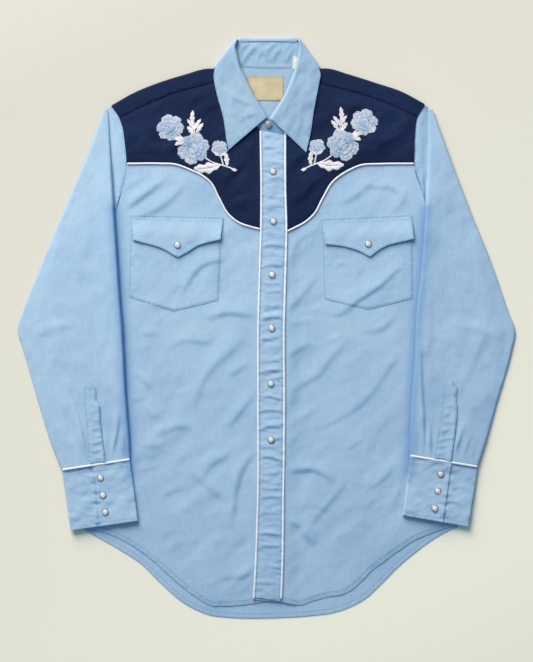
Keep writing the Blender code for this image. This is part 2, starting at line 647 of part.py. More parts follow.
def make_placket(blue, white, pearl):
    away = PIPING_RADIUS + SEAM
    left = [(row[1] + away, row[0]) for row in PLACKET_LINES]
    right = [(row[2] - away, row[0]) for row in PLACKET_LINES]
    top = [(left[0][0], PLACKET_TOP), (right[0][0], PLACKET_TOP)]
    foot = [(left[-1][0], PLACKET_FOOT[0]), (right[-1][0], PLACKET_FOOT[1])]

    def on_lap(x, y):
        return lapped_height(min(x, 31), y) + LAYER

    edge = outline(top[:1], through(left, 26)[1:-1], foot, through(right, 26)[1:-1][::-1], top[1:])
    lay_flat("placket", edge, on_lap, blue, bends=LINING_BENDS)
    for column, word in ((1, "left"), (2, "right")):
        line = through([(row[column], row[0]) for row in PLACKET_LINES], 26)
        for axis, place in LINING_BENDS:
            line = split_at(line, axis, place)[0]
        cord = [(x, y, on_lap(x, y) + PIPING_RADIUS) for x, y in line]
        add_piping("placket_piping_" + word, cord, PIPING_RADIUS, white)
    for index, place in enumerate(PLACKET_SNAPS):
        add_snap("placket_snap_%d" % (index + 1), pearl, place, lambda x, y: on_lap(x, y) + LAYER)


def make_pockets(blue, pearl):
    for side, word in enumerate(SIDES):
        def pocket_height(x, y, side=side):
            return side_height(x, y, side) + LAYER

        def on_flap(x, y, side=side):
            return flap_height(x, y, side) + LAYER

        lay_flat("pocket_" + word, outline(straight(POCKET[side] + POCKET[side][:1])), pocket_height, blue)
        lower = FLAP_EDGE[side]
        tip = lower.index(min(lower, key=lambda p: p[1]))
        edge = outline(straight(FLAP_TOP[side]), through(lower[:tip + 1]), through(lower[tip:]))

        def flap_underside(x, y, side=side):
            return flap_height(x, y, side)

        lay_flat("flap_" + word, edge, flap_underside, blue, bends=((1, FLAP_STEP[1]),))
        add_snap("flap_snap_" + word, pearl, FLAP_SNAPS[side], on_flap)


def ring_columns(inner, outer, y, side):
    """Shares of a ring's width, with columns where its underside bends."""
    width = abs(outer - inner)
    bend = min(max(abs(row_at(BODY_LINE[side], y)[0] - inner) / width, 0.1), 0.8)
    foot = bend + min(SLOPE / width, (1 - bend) * 0.6)
    rest = [between(foot, 1.0, part / 4) for part in (1, 2, 3)]
    return [0, bend / 3, bend * 2 / 3, bend, (bend + foot) / 2, foot] + rest + [1]


def sleeve_air(share, y):
    """Air inside a sleeve, more where a long fold stands up."""
    air = SLEEVE_AIR
    for place, top, foot, rise in SLEEVE_FOLDS:
        along = (top - y) / (top - foot)
        if 0 < along < 1:
            air += rise * math.sin(math.pi * along) * math.exp(-((share - place) / 0.13) ** 2)
    return air


def sleeve_ring(side, y):
    """One ring round the inside of a sleeve: along the bottom to the outer edge, and back."""
    outward = -1 if side == LEFT else 1
    drop = SLEEVE_TILT * smooth((-60 - y) / 125)
    inner = row_at(SLEEVE_RINGS[side], y)[0]
    outer = row_at(SLEEVE_RINGS[side], y - drop)[1]
    inset = outward * (CLOTH + EDGE_ROUND)
    start, end = inner + inset, outer - inset
    under, over = [], []
    for share in ring_columns(start, end, y, side):
        x = between(start, end, share)
        place = y - drop * share
        base = sleeve_height(x, place, side) + CLOTH
        under.append((x, place, base))
        over.append((x, place, base + sleeve_air(share, y)))
    bulge = outward * EDGE_ROUND
    outer_side = (end + bulge, y - drop, (under[-1][2] + over[-1][2]) / 2)
    inner_side = (start - bulge, y, (under[0][2] + over[0][2]) / 2)
    return under + [outer_side] + over[::-1] + [inner_side]


def make_sleeves(blue, white, pearl):
    for side, word in enumerate(SIDES):
        top, elbow = SLEEVE_RINGS[side][0][0], SLEEVE_RINGS[side][ELBOW][0]
        foot = CUFF_PIPING[side][0][1] + CUFF_PIPING_RADIUS + SEAM
        heights = [between(top, elbow, k / UPPER_RINGS) for k in range(UPPER_RINGS)]
        heights += [between(elbow, foot, k / LOWER_RINGS) for k in range(LOWER_RINGS + 1)]
        rings = [sleeve_ring(side, y) for y in heights]
        sleeve = loft("sleeve_" + word, rings, blue, closed=True)
        join_head(sleeve, side, blue)
        make_cuff(side, word, blue, white, pearl)
        edge = outline(straight(SLEEVE_PLACKET[side] + SLEEVE_PLACKET[side][:1]))
        above = 2 * CLOTH + SLEEVE_AIR + 2 * SEAM
        lay_flat("sleeve_placket_" + word, edge, lambda x, y: sleeve_height(x, y, side) + above, blue)


def join_head(sleeve, side, blue):
    """Unite a sleeve with the strip of it that shows between its fold and the armhole."""
    rows = []
    for y, seam_x, fold_x, end_y, end_x in SLEEVE_HEAD[side]:
        seam = (seam_x, y, front_height(seam_x, y))
        fold = (fold_x, (y + end_y) / 2, LAYER)
        x, y, z = between(seam, fold, 0.5)
        middle = (x, y, between(z, LAYER, 0.3))
        rows.append([seam, middle, fold, (end_x, end_y, 2 * LAYER + HEAD_OVERLAP)])
    head = loft(sleeve.name + "_head", rows, blue, thickness=HEAD_WALL, even=False)
    shirt.objects.unlink(head)
    cutters.objects.link(head)
    head.hide_render = True
    head.display_type = "WIRE"
    union = sleeve.modifiers.new("Head of the sleeve", "BOOLEAN")
    union.operation = "UNION"
    union.object = head


def make_cuff(side, word, blue, white, pearl):
    """A band whose two ends lap on the upper side, with its piping and three snaps."""
    outward = -1 if side == LEFT else 1
    under_end = CLOTH + CUFF_AIR
    over_end = under_end + LAYER
    rows = []
    for down in (0.0, 0.34, 0.67, 1.0):
        inner = between(CUFF_TOP[side][0], CUFF_WRIST[side][0], down)
        outer = between(CUFF_TOP[side][1], CUFF_WRIST[side][1], down)
        lap_x = between(CUFF_LAP[side][0], CUFF_LAP[side][1], down)[0]
        inset = outward * (CLOTH + EDGE_ROUND)
        start = (inner[0] + inset, inner[1])
        end = (outer[0] - inset, outer[1])
        width = abs(end[0] - start[0])
        bend = abs(row_at(BODY_LINE[side], inner[1])[0] - start[0]) / width
        lap = abs(lap_x - start[0]) / width
        foot = min(bend + SLOPE / width, 0.97)

        def place(share, rise, bulge=0.0):
            x, y = between(start, end, share)
            return (x + outward * bulge, y, sleeve_height(x, y, side) + rise)

        row = [place(share, under_end) for share in (lap - CUFF_HIDDEN, lap, bend, foot, 1.0)]
        row.append(place(1.0, (under_end + CLOTH) / 2, EDGE_ROUND))
        row += [place(share, CLOTH) for share in (1.0, foot, bend, lap, lap / 2, 0.0)]
        row.append(place(0.0, (over_end + CLOTH) / 2, -EDGE_ROUND))
        row += [place(share, over_end) for share in (0.0, lap / 2, lap)]
        rows.append(row)
    loft("cuff_" + word, rows, blue)
    cord = []
    for part in range(9):
        x, y = between(*CUFF_PIPING[side], part / 8)
        dip = CUFF_PIPING_RADIUS * 0.6 if part in (0, 8) else 0.0
        cord.append((x, y, sleeve_height(x, y, side) + over_end - dip))
    add_piping("cuff_piping_" + word, cord, CUFF_PIPING_RADIUS, white)
    for index, spot in enumerate(CUFF_SNAPS[side]):
        add_snap("cuff_snap_%s_%d" % (word, index + 1), pearl, spot,
                 lambda x, y: sleeve_height(x, y, side) + over_end + LAYER)


def lapped(x, side):
    """Extra rise of the right half where it laps the left half at the centre front."""
    return LAYER * (1 - ramp(x, *LAP_STEP)) if side == RIGHT else 0.0


def half_stand(side):
    """Rows of the stand from its centre front end to the fold at the side of the neck."""
    seams = (STAND_END[side],) + NECK_FRONT[side] + (STAND_NECK[side],)
    rows = [stand_row(top, seam, side) for top, seam in zip(STAND_TOP[side], seams)]
    top, seam = STAND_FOLD[side]
    fold_line = (Vector(seam) - Vector(top)).normalized()
    outward = Vector((fold_line.y, -fold_line.x)) * (1 if side == LEFT else -1)
    length = (Vector(seam) - Vector(top)).length
    for rise, bulge in STAND_TURN:
        row = []
        for share in STAND_WIDTHS:
            x, y = between(between(top, seam, NOSE / length), seam, share)
            high = between(STAND_HEIGHT - STAND_SINK, 3 * LAYER, share)
            z = between(LAYER + CLOTH, high, rise)
            row.append((x + outward.x * bulge, y + outward.y * bulge, z))
        rows.append(row)
    return rows


def stand_row(top, seam, side):
    """One row of the stand's front, from its upper edge to just short of the neck seam."""
    length = (Vector(seam) - Vector(top)).length
    rise = (STAND_HEIGHT - 2 * LAYER) * min(length / STAND_WIDTH, 1) - STAND_SINK * ramp(top[1], 368, 384)
    row = []
    for share in STAND_WIDTHS:
        x, y = between(between(top, seam, NOSE / length), between(seam, top, 1.5 * SEAM / length), share)
        row.append((x, y, 2 * LAYER + lapped(x, side) + rise * (1 - share)))
    return row


def make_stand(blue):
    left, right = half_stand(LEFT), half_stand(RIGHT)
    back = []
    for x, y in NECK_BACK[2:-2]:
        top = (x, STAND_BACK_TOP)
        seam = (x, y + 1.5 * SEAM)
        back.append([(*between(top, seam, share), LAYER + CLOTH) for share in STAND_WIDTHS])
    loft("collar_stand", left + back + right[::-1], blue, even=False)


def leaf_row(roll, edge, side):
    """One row of the leaf's front, from its turned-down inner edge to its outer edge."""
    inward = SEAM / 2 if side == LEFT else -SEAM / 2
    high = LEAF_HEIGHT + lapped(roll[0], side)
    row = [(roll[0] + inward, roll[1], high - LEAF_DROP)]
    for share in LEAF_WIDTHS:
        x, y = between(roll, edge, share)
        rest = LEAF_REST + lapped(x, side)
        row.append((x, y, rest + max(high - rest, 0) * (1 - share) ** LEAF_CURVE))
    return row


def half_leaf(side):
    rows = [leaf_row(*pair, side) for pair in zip(LEAF_ROLL[side], LEAF_EDGE[side])]
    top, corner = LEAF_FOLD[side]
    down = (Vector(corner) - Vector(top)).normalized()
    outward = Vector((down.y, -down.x)) * (1 if side == LEFT else -1)
    for rise, bulge in LEAF_TURN:
        out_x, out_y = outward * bulge
        drop_z = between(CLOTH + LEAF_DROP, LEAF_HEIGHT - LEAF_DROP, rise)
        row = [(top[0] + out_x - down.x * SEAM / 2, top[1] + out_y - down.y * SEAM / 2, drop_z)]
        for share in LEAF_WIDTHS:
            x, y = between(top, corner, share)
            z = between(CLOTH, between(LEAF_HEIGHT, LEAF_REST, share), rise)
            row.append((x + out_x, y + out_y, z))
        rows.append(row)
    return rows


def make_leaf(blue):
    """Left front, round the back under the neck, right front."""
    back = []
    for top_x, top_y, x, y in LEAF_BACK:
        row = [(top_x, top_y + SEAM / 2, CLOTH + LEAF_DROP)]
        row += [(*between((top_x, top_y), (x, y), share), CLOTH) for share in LEAF_WIDTHS]
        back.append(row)
    loft("collar_leaf", half_leaf(LEFT) + back + half_leaf(RIGHT)[::-1], blue, even=False)


def make_labels(cream, white):
    def on_lining(x, y):
        return 2 * LAYER

    for name, corners, finish in (("label", LABEL, cream), ("size_tab", SIZE_TAB, white)):
        edge = outline(straight(corners + corners[:1], EDGE_STEP))
        lay_flat(name, edge, on_lining, finish, thickness=TAPE)


def stand_snap_height(x, y):
    """Top of the stand's right end, which carries the uppermost snap."""
    return 4 * LAYER + STAND_SLOPE * (y - STAND_END[RIGHT][1]) + SEAM / 2


for old in list(bpy.data.objects):
    bpy.data.objects.remove(old, do_unlink=True)
shirt = bpy.data.collections.new("western_snap_shirt")
cutters = bpy.data.collections.new("joined_shapes")
for group in (shirt, cutters):
    bpy.context.scene.collection.children.link(group)

blue_cloth = cloth_finish("light_blue_cloth", LIGHT_BLUE)
navy_cloth = cloth_finish("navy_cloth", NAVY)
white_cord = cloth_finish("white_cord", WHITE, 0.7)
cream_label = cloth_finish("cream_label", CREAM)
pearl_snap = cloth_finish("pearl_snap", PEARL, 0.3, 0.1)
pearl = snap_mesh(pearl_snap)

make_back(blue_cloth, navy_cloth)
make_fronts(blue_cloth)
make_yokes(navy_cloth, white_cord)
make_placket(blue_cloth, white_cord, pearl)
make_pockets(blue_cloth, pearl)
make_sleeves(blue_cloth, white_cord, pearl)
make_stand(blue_cloth)
make_leaf(blue_cloth)
make_labels(cream_label, white_cord)
add_snap("stand_snap", pearl, STAND_SNAP, stand_snap_height)
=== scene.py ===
"""Looks of a western snap shirt laid flat: its cloth, piping, pearl snaps, sewing and embroidery.

Tables are in millimetres, in the frame of the solids: +Y towards the collar, +Z up, +X to the
right as seen from above. MM turns them into metres.
"""
import json
import math

import bmesh
import bpy
import numpy as np
from mathutils import Matrix, Vector
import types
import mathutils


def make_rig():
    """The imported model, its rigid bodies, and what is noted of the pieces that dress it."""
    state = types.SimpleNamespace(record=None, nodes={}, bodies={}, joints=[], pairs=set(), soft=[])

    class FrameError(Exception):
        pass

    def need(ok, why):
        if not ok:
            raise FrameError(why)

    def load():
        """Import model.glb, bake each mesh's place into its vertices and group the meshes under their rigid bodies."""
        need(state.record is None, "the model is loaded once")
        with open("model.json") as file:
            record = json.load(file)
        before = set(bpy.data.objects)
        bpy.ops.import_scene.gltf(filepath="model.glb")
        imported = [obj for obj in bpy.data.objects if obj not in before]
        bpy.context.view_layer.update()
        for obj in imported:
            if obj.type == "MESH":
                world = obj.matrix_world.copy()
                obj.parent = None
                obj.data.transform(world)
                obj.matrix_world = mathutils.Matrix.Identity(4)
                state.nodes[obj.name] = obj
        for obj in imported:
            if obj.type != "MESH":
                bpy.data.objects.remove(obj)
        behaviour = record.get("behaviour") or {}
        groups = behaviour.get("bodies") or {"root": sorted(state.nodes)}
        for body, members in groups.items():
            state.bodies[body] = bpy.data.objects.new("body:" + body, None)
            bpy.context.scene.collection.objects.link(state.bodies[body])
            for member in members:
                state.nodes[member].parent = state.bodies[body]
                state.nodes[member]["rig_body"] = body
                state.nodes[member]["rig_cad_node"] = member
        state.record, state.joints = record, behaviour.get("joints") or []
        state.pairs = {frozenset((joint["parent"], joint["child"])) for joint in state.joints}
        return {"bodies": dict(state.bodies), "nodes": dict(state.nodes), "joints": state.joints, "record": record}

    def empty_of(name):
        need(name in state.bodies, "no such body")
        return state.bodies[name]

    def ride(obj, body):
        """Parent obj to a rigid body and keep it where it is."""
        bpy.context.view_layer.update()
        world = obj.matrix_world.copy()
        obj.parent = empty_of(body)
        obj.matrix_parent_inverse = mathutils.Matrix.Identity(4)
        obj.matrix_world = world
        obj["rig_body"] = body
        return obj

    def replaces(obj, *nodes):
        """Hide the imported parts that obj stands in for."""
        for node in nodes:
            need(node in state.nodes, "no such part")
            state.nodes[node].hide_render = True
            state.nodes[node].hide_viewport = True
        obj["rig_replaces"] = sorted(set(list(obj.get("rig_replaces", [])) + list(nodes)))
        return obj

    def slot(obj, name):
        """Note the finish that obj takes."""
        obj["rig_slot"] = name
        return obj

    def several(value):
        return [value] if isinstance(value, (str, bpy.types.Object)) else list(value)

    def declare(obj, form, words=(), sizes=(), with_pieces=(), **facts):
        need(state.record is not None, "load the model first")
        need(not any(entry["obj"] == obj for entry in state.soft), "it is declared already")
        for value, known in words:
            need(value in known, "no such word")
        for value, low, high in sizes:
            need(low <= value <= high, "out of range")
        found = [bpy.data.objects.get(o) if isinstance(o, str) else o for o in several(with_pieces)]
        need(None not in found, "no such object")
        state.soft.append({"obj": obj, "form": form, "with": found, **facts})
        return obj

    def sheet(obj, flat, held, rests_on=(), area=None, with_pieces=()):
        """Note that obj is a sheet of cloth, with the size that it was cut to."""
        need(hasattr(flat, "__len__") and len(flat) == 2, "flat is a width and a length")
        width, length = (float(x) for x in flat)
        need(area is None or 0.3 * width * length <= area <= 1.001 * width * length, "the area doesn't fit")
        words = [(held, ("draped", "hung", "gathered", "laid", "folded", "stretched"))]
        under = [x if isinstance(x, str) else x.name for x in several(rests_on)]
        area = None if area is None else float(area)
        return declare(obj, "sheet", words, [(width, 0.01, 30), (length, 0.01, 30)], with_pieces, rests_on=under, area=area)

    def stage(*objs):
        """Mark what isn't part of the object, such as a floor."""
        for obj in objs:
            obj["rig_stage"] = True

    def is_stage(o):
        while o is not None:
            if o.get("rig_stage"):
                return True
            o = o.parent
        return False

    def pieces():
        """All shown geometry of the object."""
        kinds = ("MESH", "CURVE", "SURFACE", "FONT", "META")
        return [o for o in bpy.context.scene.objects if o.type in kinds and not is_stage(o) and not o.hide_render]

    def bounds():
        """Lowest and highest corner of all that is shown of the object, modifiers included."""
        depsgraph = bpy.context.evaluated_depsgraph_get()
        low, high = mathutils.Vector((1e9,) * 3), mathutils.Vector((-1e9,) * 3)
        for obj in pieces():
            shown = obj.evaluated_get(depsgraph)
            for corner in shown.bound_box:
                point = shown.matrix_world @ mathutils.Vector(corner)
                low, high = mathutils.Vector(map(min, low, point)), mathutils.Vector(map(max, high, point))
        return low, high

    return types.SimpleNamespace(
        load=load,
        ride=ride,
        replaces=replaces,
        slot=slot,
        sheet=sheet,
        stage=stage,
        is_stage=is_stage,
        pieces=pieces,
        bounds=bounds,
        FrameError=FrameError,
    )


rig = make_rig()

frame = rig.load()
cad_low, cad_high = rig.bounds()

MM = 0.001
SCALE = Matrix.Diagonal((MM, MM, MM, 1.0))
WALL = 0.7               # one piece of cloth
RIBBON = 0.5             # the labels
THIN = 0.38              # cloth at the pockets
BAND = 1.0               # interlined cloth of the collar and cuffs
LAYER = 1.5              # rise from one piece to the next one on it
LEFT, RIGHT = 0, 1
SIDES = ("left", "right")
OUTWARD = (-1, 1)        # away from the middle of the shirt, on each side
FLOOR_GAP = 0.2          # the ground lies this far below the shirt

# --- tables of the shirt's edges, the same as its solids ---------------------------------------

SHOULDER = (
    ((-218.5, 316), (-187.5, 333.5), (-157.5, 346), (-115, 359.5), (-82, 368), (-70.5, 368)),
    ((224.5, 318), (190.5, 336), (157.5, 347), (118, 359.5), (85, 368.2), (74.5, 368)),
)
SHOULDER_SEAM = (
    ((-207.5, 299), (-177.5, 314), (-133.5, 332.5), (-75.5, 349), (-64.5, 352.7)),
    ((214.5, 299.5), (184.5, 314), (137.5, 331.5), (76.5, 348), (70.5, 350)),
)
SHOULDER_ROUND = 2.5     # the yoke turns over this far inside the shoulder's outline
TUCK = 6.5               # the fronts run this far under the yoke at the shoulder seam
ARMHOLE_YOKE = (
    ((-218.5, 316), (-209.5, 301.5), (-204.5, 288.5), (-199.5, 257), (-197, 233)),
    ((224.5, 318), (214, 298), (211, 274), (210, 252), (210, 234.5)),
)
ARMHOLE_BODY = (
    ((-197, 233), (-200, 215), (-204, 198.5), (-212.5, 167.5), (-224.5, 146.5), (-257.5, 111)),
    ((210, 234.5), (212.5, 217.5), (219.5, 198.5), (226, 176), (244, 136.5), (261.5, 111)),
)
SIDE_SEAM = (
    ((-257.5, 111), (-255.5, -3), (-257, -145), (-259.5, -284.5)),
    ((261.5, 111), (264, -3), (269, -145), (272.5, -281.5)),
)
NECK_FRONT = (
    ((-8.5, 281), (-20, 291), (-37, 302), (-50, 323), (-59, 343.5), (-62, 356.5), (-64.5, 367.5)),
    ((26, 273.3), (41, 287), (54, 304), (63, 325), (67, 346), (68.3, 358), (69, 367.5)),
)
NECK_BACK = ((-64, 365), (-50, 369), (-37, 371.5), (-18, 370.5), (3, 369.8), (20, 369.8),
             (37, 370.3), (52, 368.5), (68, 365))
YOKE_EDGE = (
    ((-197, 234), (-150.5, 234), (-129, 233), (-106.5, 225), (-92.5, 218.5), (-78, 207.5),
     (-65.5, 184.5), (-52.5, 162), (-38.5, 150.5), (-21.5, 144.5), (-9.8, 141.5)),
    ((210, 234), (162, 233.5), (133.5, 231.5), (118, 225), (93.5, 207.5), (79.5, 184.5),
     (67.5, 162.5), (54, 150.5), (41, 143.5), (30.8, 138.5)),
)
PLACKET_LINES = (
    (272.5, -7.5, 27.5), (199, -6.5, 27.5), (139, -7, 29.0), (74, -9, 27.5), (-3, -11, 25.5),
    (-102, -11, 26.0), (-243, -11.5, 24.5), (-343.5, -15, 23), (-384, -17.2, 21.5),
)
PLACKET_TOP = (280.5, 273.2)
PLACKET_FOOT = (-381.5, -387.5)
FRONT_HEM = (
    ((-259.5, -284.5), (-228.5, -290.5), (-207.5, -299.5), (-186, -311.5), (-164.5, -327),
     (-140, -349), (-115, -370.5), (-93.5, -386), (-79.5, -394), (-65.5, -395), (-37, -393.5),
     (-8.5, -390), (24, -386)),
    ((272.5, -281.5), (254, -285), (233, -292), (211.5, -301), (190.5, -315), (165.5, -333),
     (147.5, -347), (133.5, -362), (119.5, -373), (105, -379), (91, -381), (62.5, -389),
     (48.5, -393.5), (34, -391.5), (23.5, -389)),
)
BACK_HEM = (
    (-260.5, -285.5), (-207.5, -315), (-179, -333.5), (-150.5, -361.5), (-115, -391.5),
    (-79.5, -407.5), (-51, -411), (-8.5, -412), (27, -411), (62.5, -408.5), (98, -403.5),
    (119.5, -396), (140.5, -384.5), (165.5, -361.5), (190.5, -336.5), (211.5, -319),
    (233, -303), (254, -290.5), (273.5, -282),
)
POCKET = (
    ((-191, 145), (-62.5, 142), (-64, 122), (-67.5, 39), (-130.5, 23.5), (-194.5, 44), (-192.5, 122.5)),
    ((79, 140.5), (207.5, 145), (207.5, 124), (208, 41.5), (145.5, 26), (82.5, 41), (81, 116)),
)
FLAP_TOP = (((-191.5, 160), (-60.5, 156.5)), ((77.5, 154), (206.5, 160)))
FLAP_EDGE = (
    ((-64.5, 125.5), (-80, 122), (-98.5, 116), (-109, 109), (-125, 100.5),
     (-134.5, 105.5), (-145.5, 112), (-163, 118), (-176.5, 121.5), (-189.5, 125.5)),
    ((209.5, 126.5), (190.5, 122), (171.5, 117), (159, 110), (147.5, 101),
     (132, 109), (119.5, 113.5), (102, 117), (83, 119)),
)
# Each sleeve: Y, then X of the fold beside the body and of the outer edge.
SLEEVE_RINGS = (
    ((306, -224.8, -229.4), (253, -221.5, -250), (167.5, -215, -285.5), (82.5, -209.5, -321),
     (25.5, -205.5, -343.5), (-4.5, -203, -352), (-24, -202, -346), (-109.5, -197.5, -321),
     (-163.5, -193.5, -304), (-205, -192.5, -287)),
    ((307.5, 231.2, 236.0), (253, 230, 255.5), (167.5, 226, 288.5), (82.5, 220, 322.5),
     (25.5, 213.5, 342), (-7, 212, 353), (-28.5, 211.5, 349), (-109.5, 206, 326),
     (-163.5, 204, 310.5), (-205, 204.5, 297)),
)
SLEEVE_TILT = 14.0       # by the cuff, a sleeve's ring is this much nearer the hem at its outer edge
# The body's edge under each sleeve: Y and X.
BODY_LINE = (
    ((309.5, -235.5), (253, -231.5), (167.5, -227), (139, -234.5), (111, -261.5), (-145, -261.5),
     (-294, -263.5)),
    ((309.5, 243), (253, 240), (167.5, 238.5), (139, 248.5), (111, 265), (-145, 272), (-294, 277)),
)
SLOPE = 75.0             # beside the body, a sleeve comes down to the ground over this width
# The strip of sleeve between the armhole and the fold: Y and X at the armhole, X under the fold,
# Y and X of its end.
SLEEVE_HEAD = (
    ((314.6, -219.3, -223.8, 308.2, -227.1), (301.5, -210.5, -224.3, 299.0, -228.5),
     (288.5, -205.2, -223.4, 288.5, -229.5), (257.0, -200.2, -221.0, 257.0, -228.0),
     (228.0, -198.6, -218.8, 228.0, -225.8), (198.5, -204.7, -216.4, 198.5, -223.4),
     (173.0, -211.8, -214.6, 173.0, -222.0),
     (162.0, -214.2, -215.4, 162.0, -222.0)),
    ((316.2, 225.4, 230.2, 309.4, 233.6), (301.5, 216.8, 231.0, 299.0, 235.2),
     (288.5, 213.0, 231.2, 288.5, 236.8), (257.0, 211.0, 229.2, 257.0, 236.0),
     (228.0, 211.4, 227.8, 228.0, 235.0), (198.5, 220.2, 226.4, 198.5, 233.0),
     (184.0, 224.0, 226.6, 184.0, 232.6),
     (172.0, 226.2, 227.2, 172.0, 233.0)),
)
# Each line of a cuff: its end beside the body and its outer end, or its top and its foot.
CUFF_TOP = (((-192.5, -188.6), (-288.5, -203.6)), ((204.5, -183.6), (300, -199)))
CUFF_WRIST = (((-181.5, -273), (-276.5, -286.6)), ((193.5, -265), (287, -281.5)))
CUFF_LAP = (((-246, -197), (-237.5, -277.5)), ((262.5, -194), (250.5, -272.5)))
CUFF_PIPING = (((-193, -186.3), (-288.5, -201)), ((204.6, -181.1), (300, -196.6)))
CUFF_AIR = 0.6           # between the cuff's two layers
CUFF_HIDDEN = 0.14       # share of the cuff's width that its lower end runs on under the lap
CUFF_OVERHANG = 0.022    # share of its depth that a cuff runs on under its piping
CUFF_SNAPS = (
    ((-234.5, -212.5), (-231, -237), (-227.5, -261)),
    ((247.5, -207), (243.5, -231), (239, -255.5)),
)
SLEEVE_PLACKET = (
    ((-250.5, -76.5), (-257.5, -84.5), (-257, -102), (-255, -130), (-252.5, -159), (-249.4, -193.4),
     (-227.4, -190.0), (-231.5, -160), (-235, -130.5), (-235.5, -109.5), (-241, -102), (-241, -86)),
    ((261.5, -73), (271, -84), (269.5, -99.5), (271, -116.5), (267, -155), (262.0, -189.2),
     (237.4, -185.2), (242, -166), (245.5, -145), (251.5, -103.5), (253, -79.5)),
)
# The collar's leaf: its rolled inner edge and its outer edge, up each front.
LEAF_ROLL = (
    ((0.5, 298), (-8.5, 312.5), (-17, 326.5), (-25.5, 343.5), (-31, 355), (-37, 367),
     (-41, 383.5), (-44, 398)),
    ((6.5, 296), (20, 316.5), (28.5, 331), (34, 343.5), (39, 356.5), (42.5, 368.5),
     (46.5, 383.5), (48.3, 397)),
)
LEAF_EDGE = (
    ((-53.5, 251.8), (-56, 265), (-58, 281), (-61, 299.5), (-65, 314), (-69, 328),
     (-72.3, 343), (-74.3, 357)),
    ((57, 248.5), (60.5, 264), (64, 281), (66.5, 299.5), (69.5, 316.5), (72.5, 332.5),
     (75.5, 348), (77.3, 359)),
)
# Where the leaf turns under at each side of the neck, and its hidden stretch behind the neck.
LEAF_FOLD = (((-41.4, 408.3), (-72.4, 368.8)), ((46.5, 408.3), (74.8, 368.5)))
LEAF_BACK = (
    (-38, 410, -60, 370.6), (-20, 410, -36, 373.4), (3, 410, 3, 372), (26, 410, 40, 372.6),
    (43, 410, 63.5, 370.6),
)
LEAF_HEIGHT = 8.6        # along the roll
LEAF_REST = 6.6          # along the outer edge
# Points round a turn to the back: share of the height, and how far it stands out.
LEAF_TURN = ((1.0, 0.0), (0.96, 0.5), (0.84, 1.0), (0.67, 1.35), (0.5, 1.45), (0.2, 1.0), (0.0, 0.0))
STAND_TURN = ((1.0, -1.2), (0.75, 0.4), (0.25, 0.4))
NOSE = 1.8               # the stand keeps this far inside the leaf's roll
STAND_TOP = (
    ((9, 293), (2, 297.5), (-8.5, 311.5), (-17, 326), (-25.5, 343), (-32, 356), (-37.5, 368),
     (-41.5, 384), (-43.6, 396.5)),
    ((-6, 290.5), (7, 296), (19.5, 316), (28, 331), (34.5, 345), (40, 359), (43.5, 369),
     (46.5, 384), (47.9, 396.5)),
)
STAND_END = ((9, 279), (-8.5, 280.3))
STAND_NECK = ((-64.0, 369.3), (68.4, 369.3))
STAND_FOLD = (((-40.0, 406.5), (-63.4, 371.2)), ((45.0, 406.5), (67.6, 371.2)))
STAND_BACK_TOP = 407.4
STAND_HEIGHT = 7.0
STAND_SINK = 1.6         # how much lower the stand is behind the neck
STAND_WIDTH = 24.0
STAND_SLOPE = 0.2        # rise of the stand's end for each millimetre towards the collar
LABEL = ((-26, 323), (24, 322.5), (25, 357.5), (-26, 358))
SIZE_TAB = ((37, 367.5), (43.5, 366.5), (45.3, 384), (38.7, 386))
PLACKET_SNAPS = ((10, 221.5), (10.5, 151), (8.5, 75.5), (8, -0.5), (7, -79), (7, -158.5))
STAND_SNAP = (3.5, 288.2)
FLAP_SNAPS = ((-125.5, 117.5), (145, 119))
SNAP = 0.93              # size of a snap, as a share of its profile

# --- creases -----------------------------------------------------------------------------------

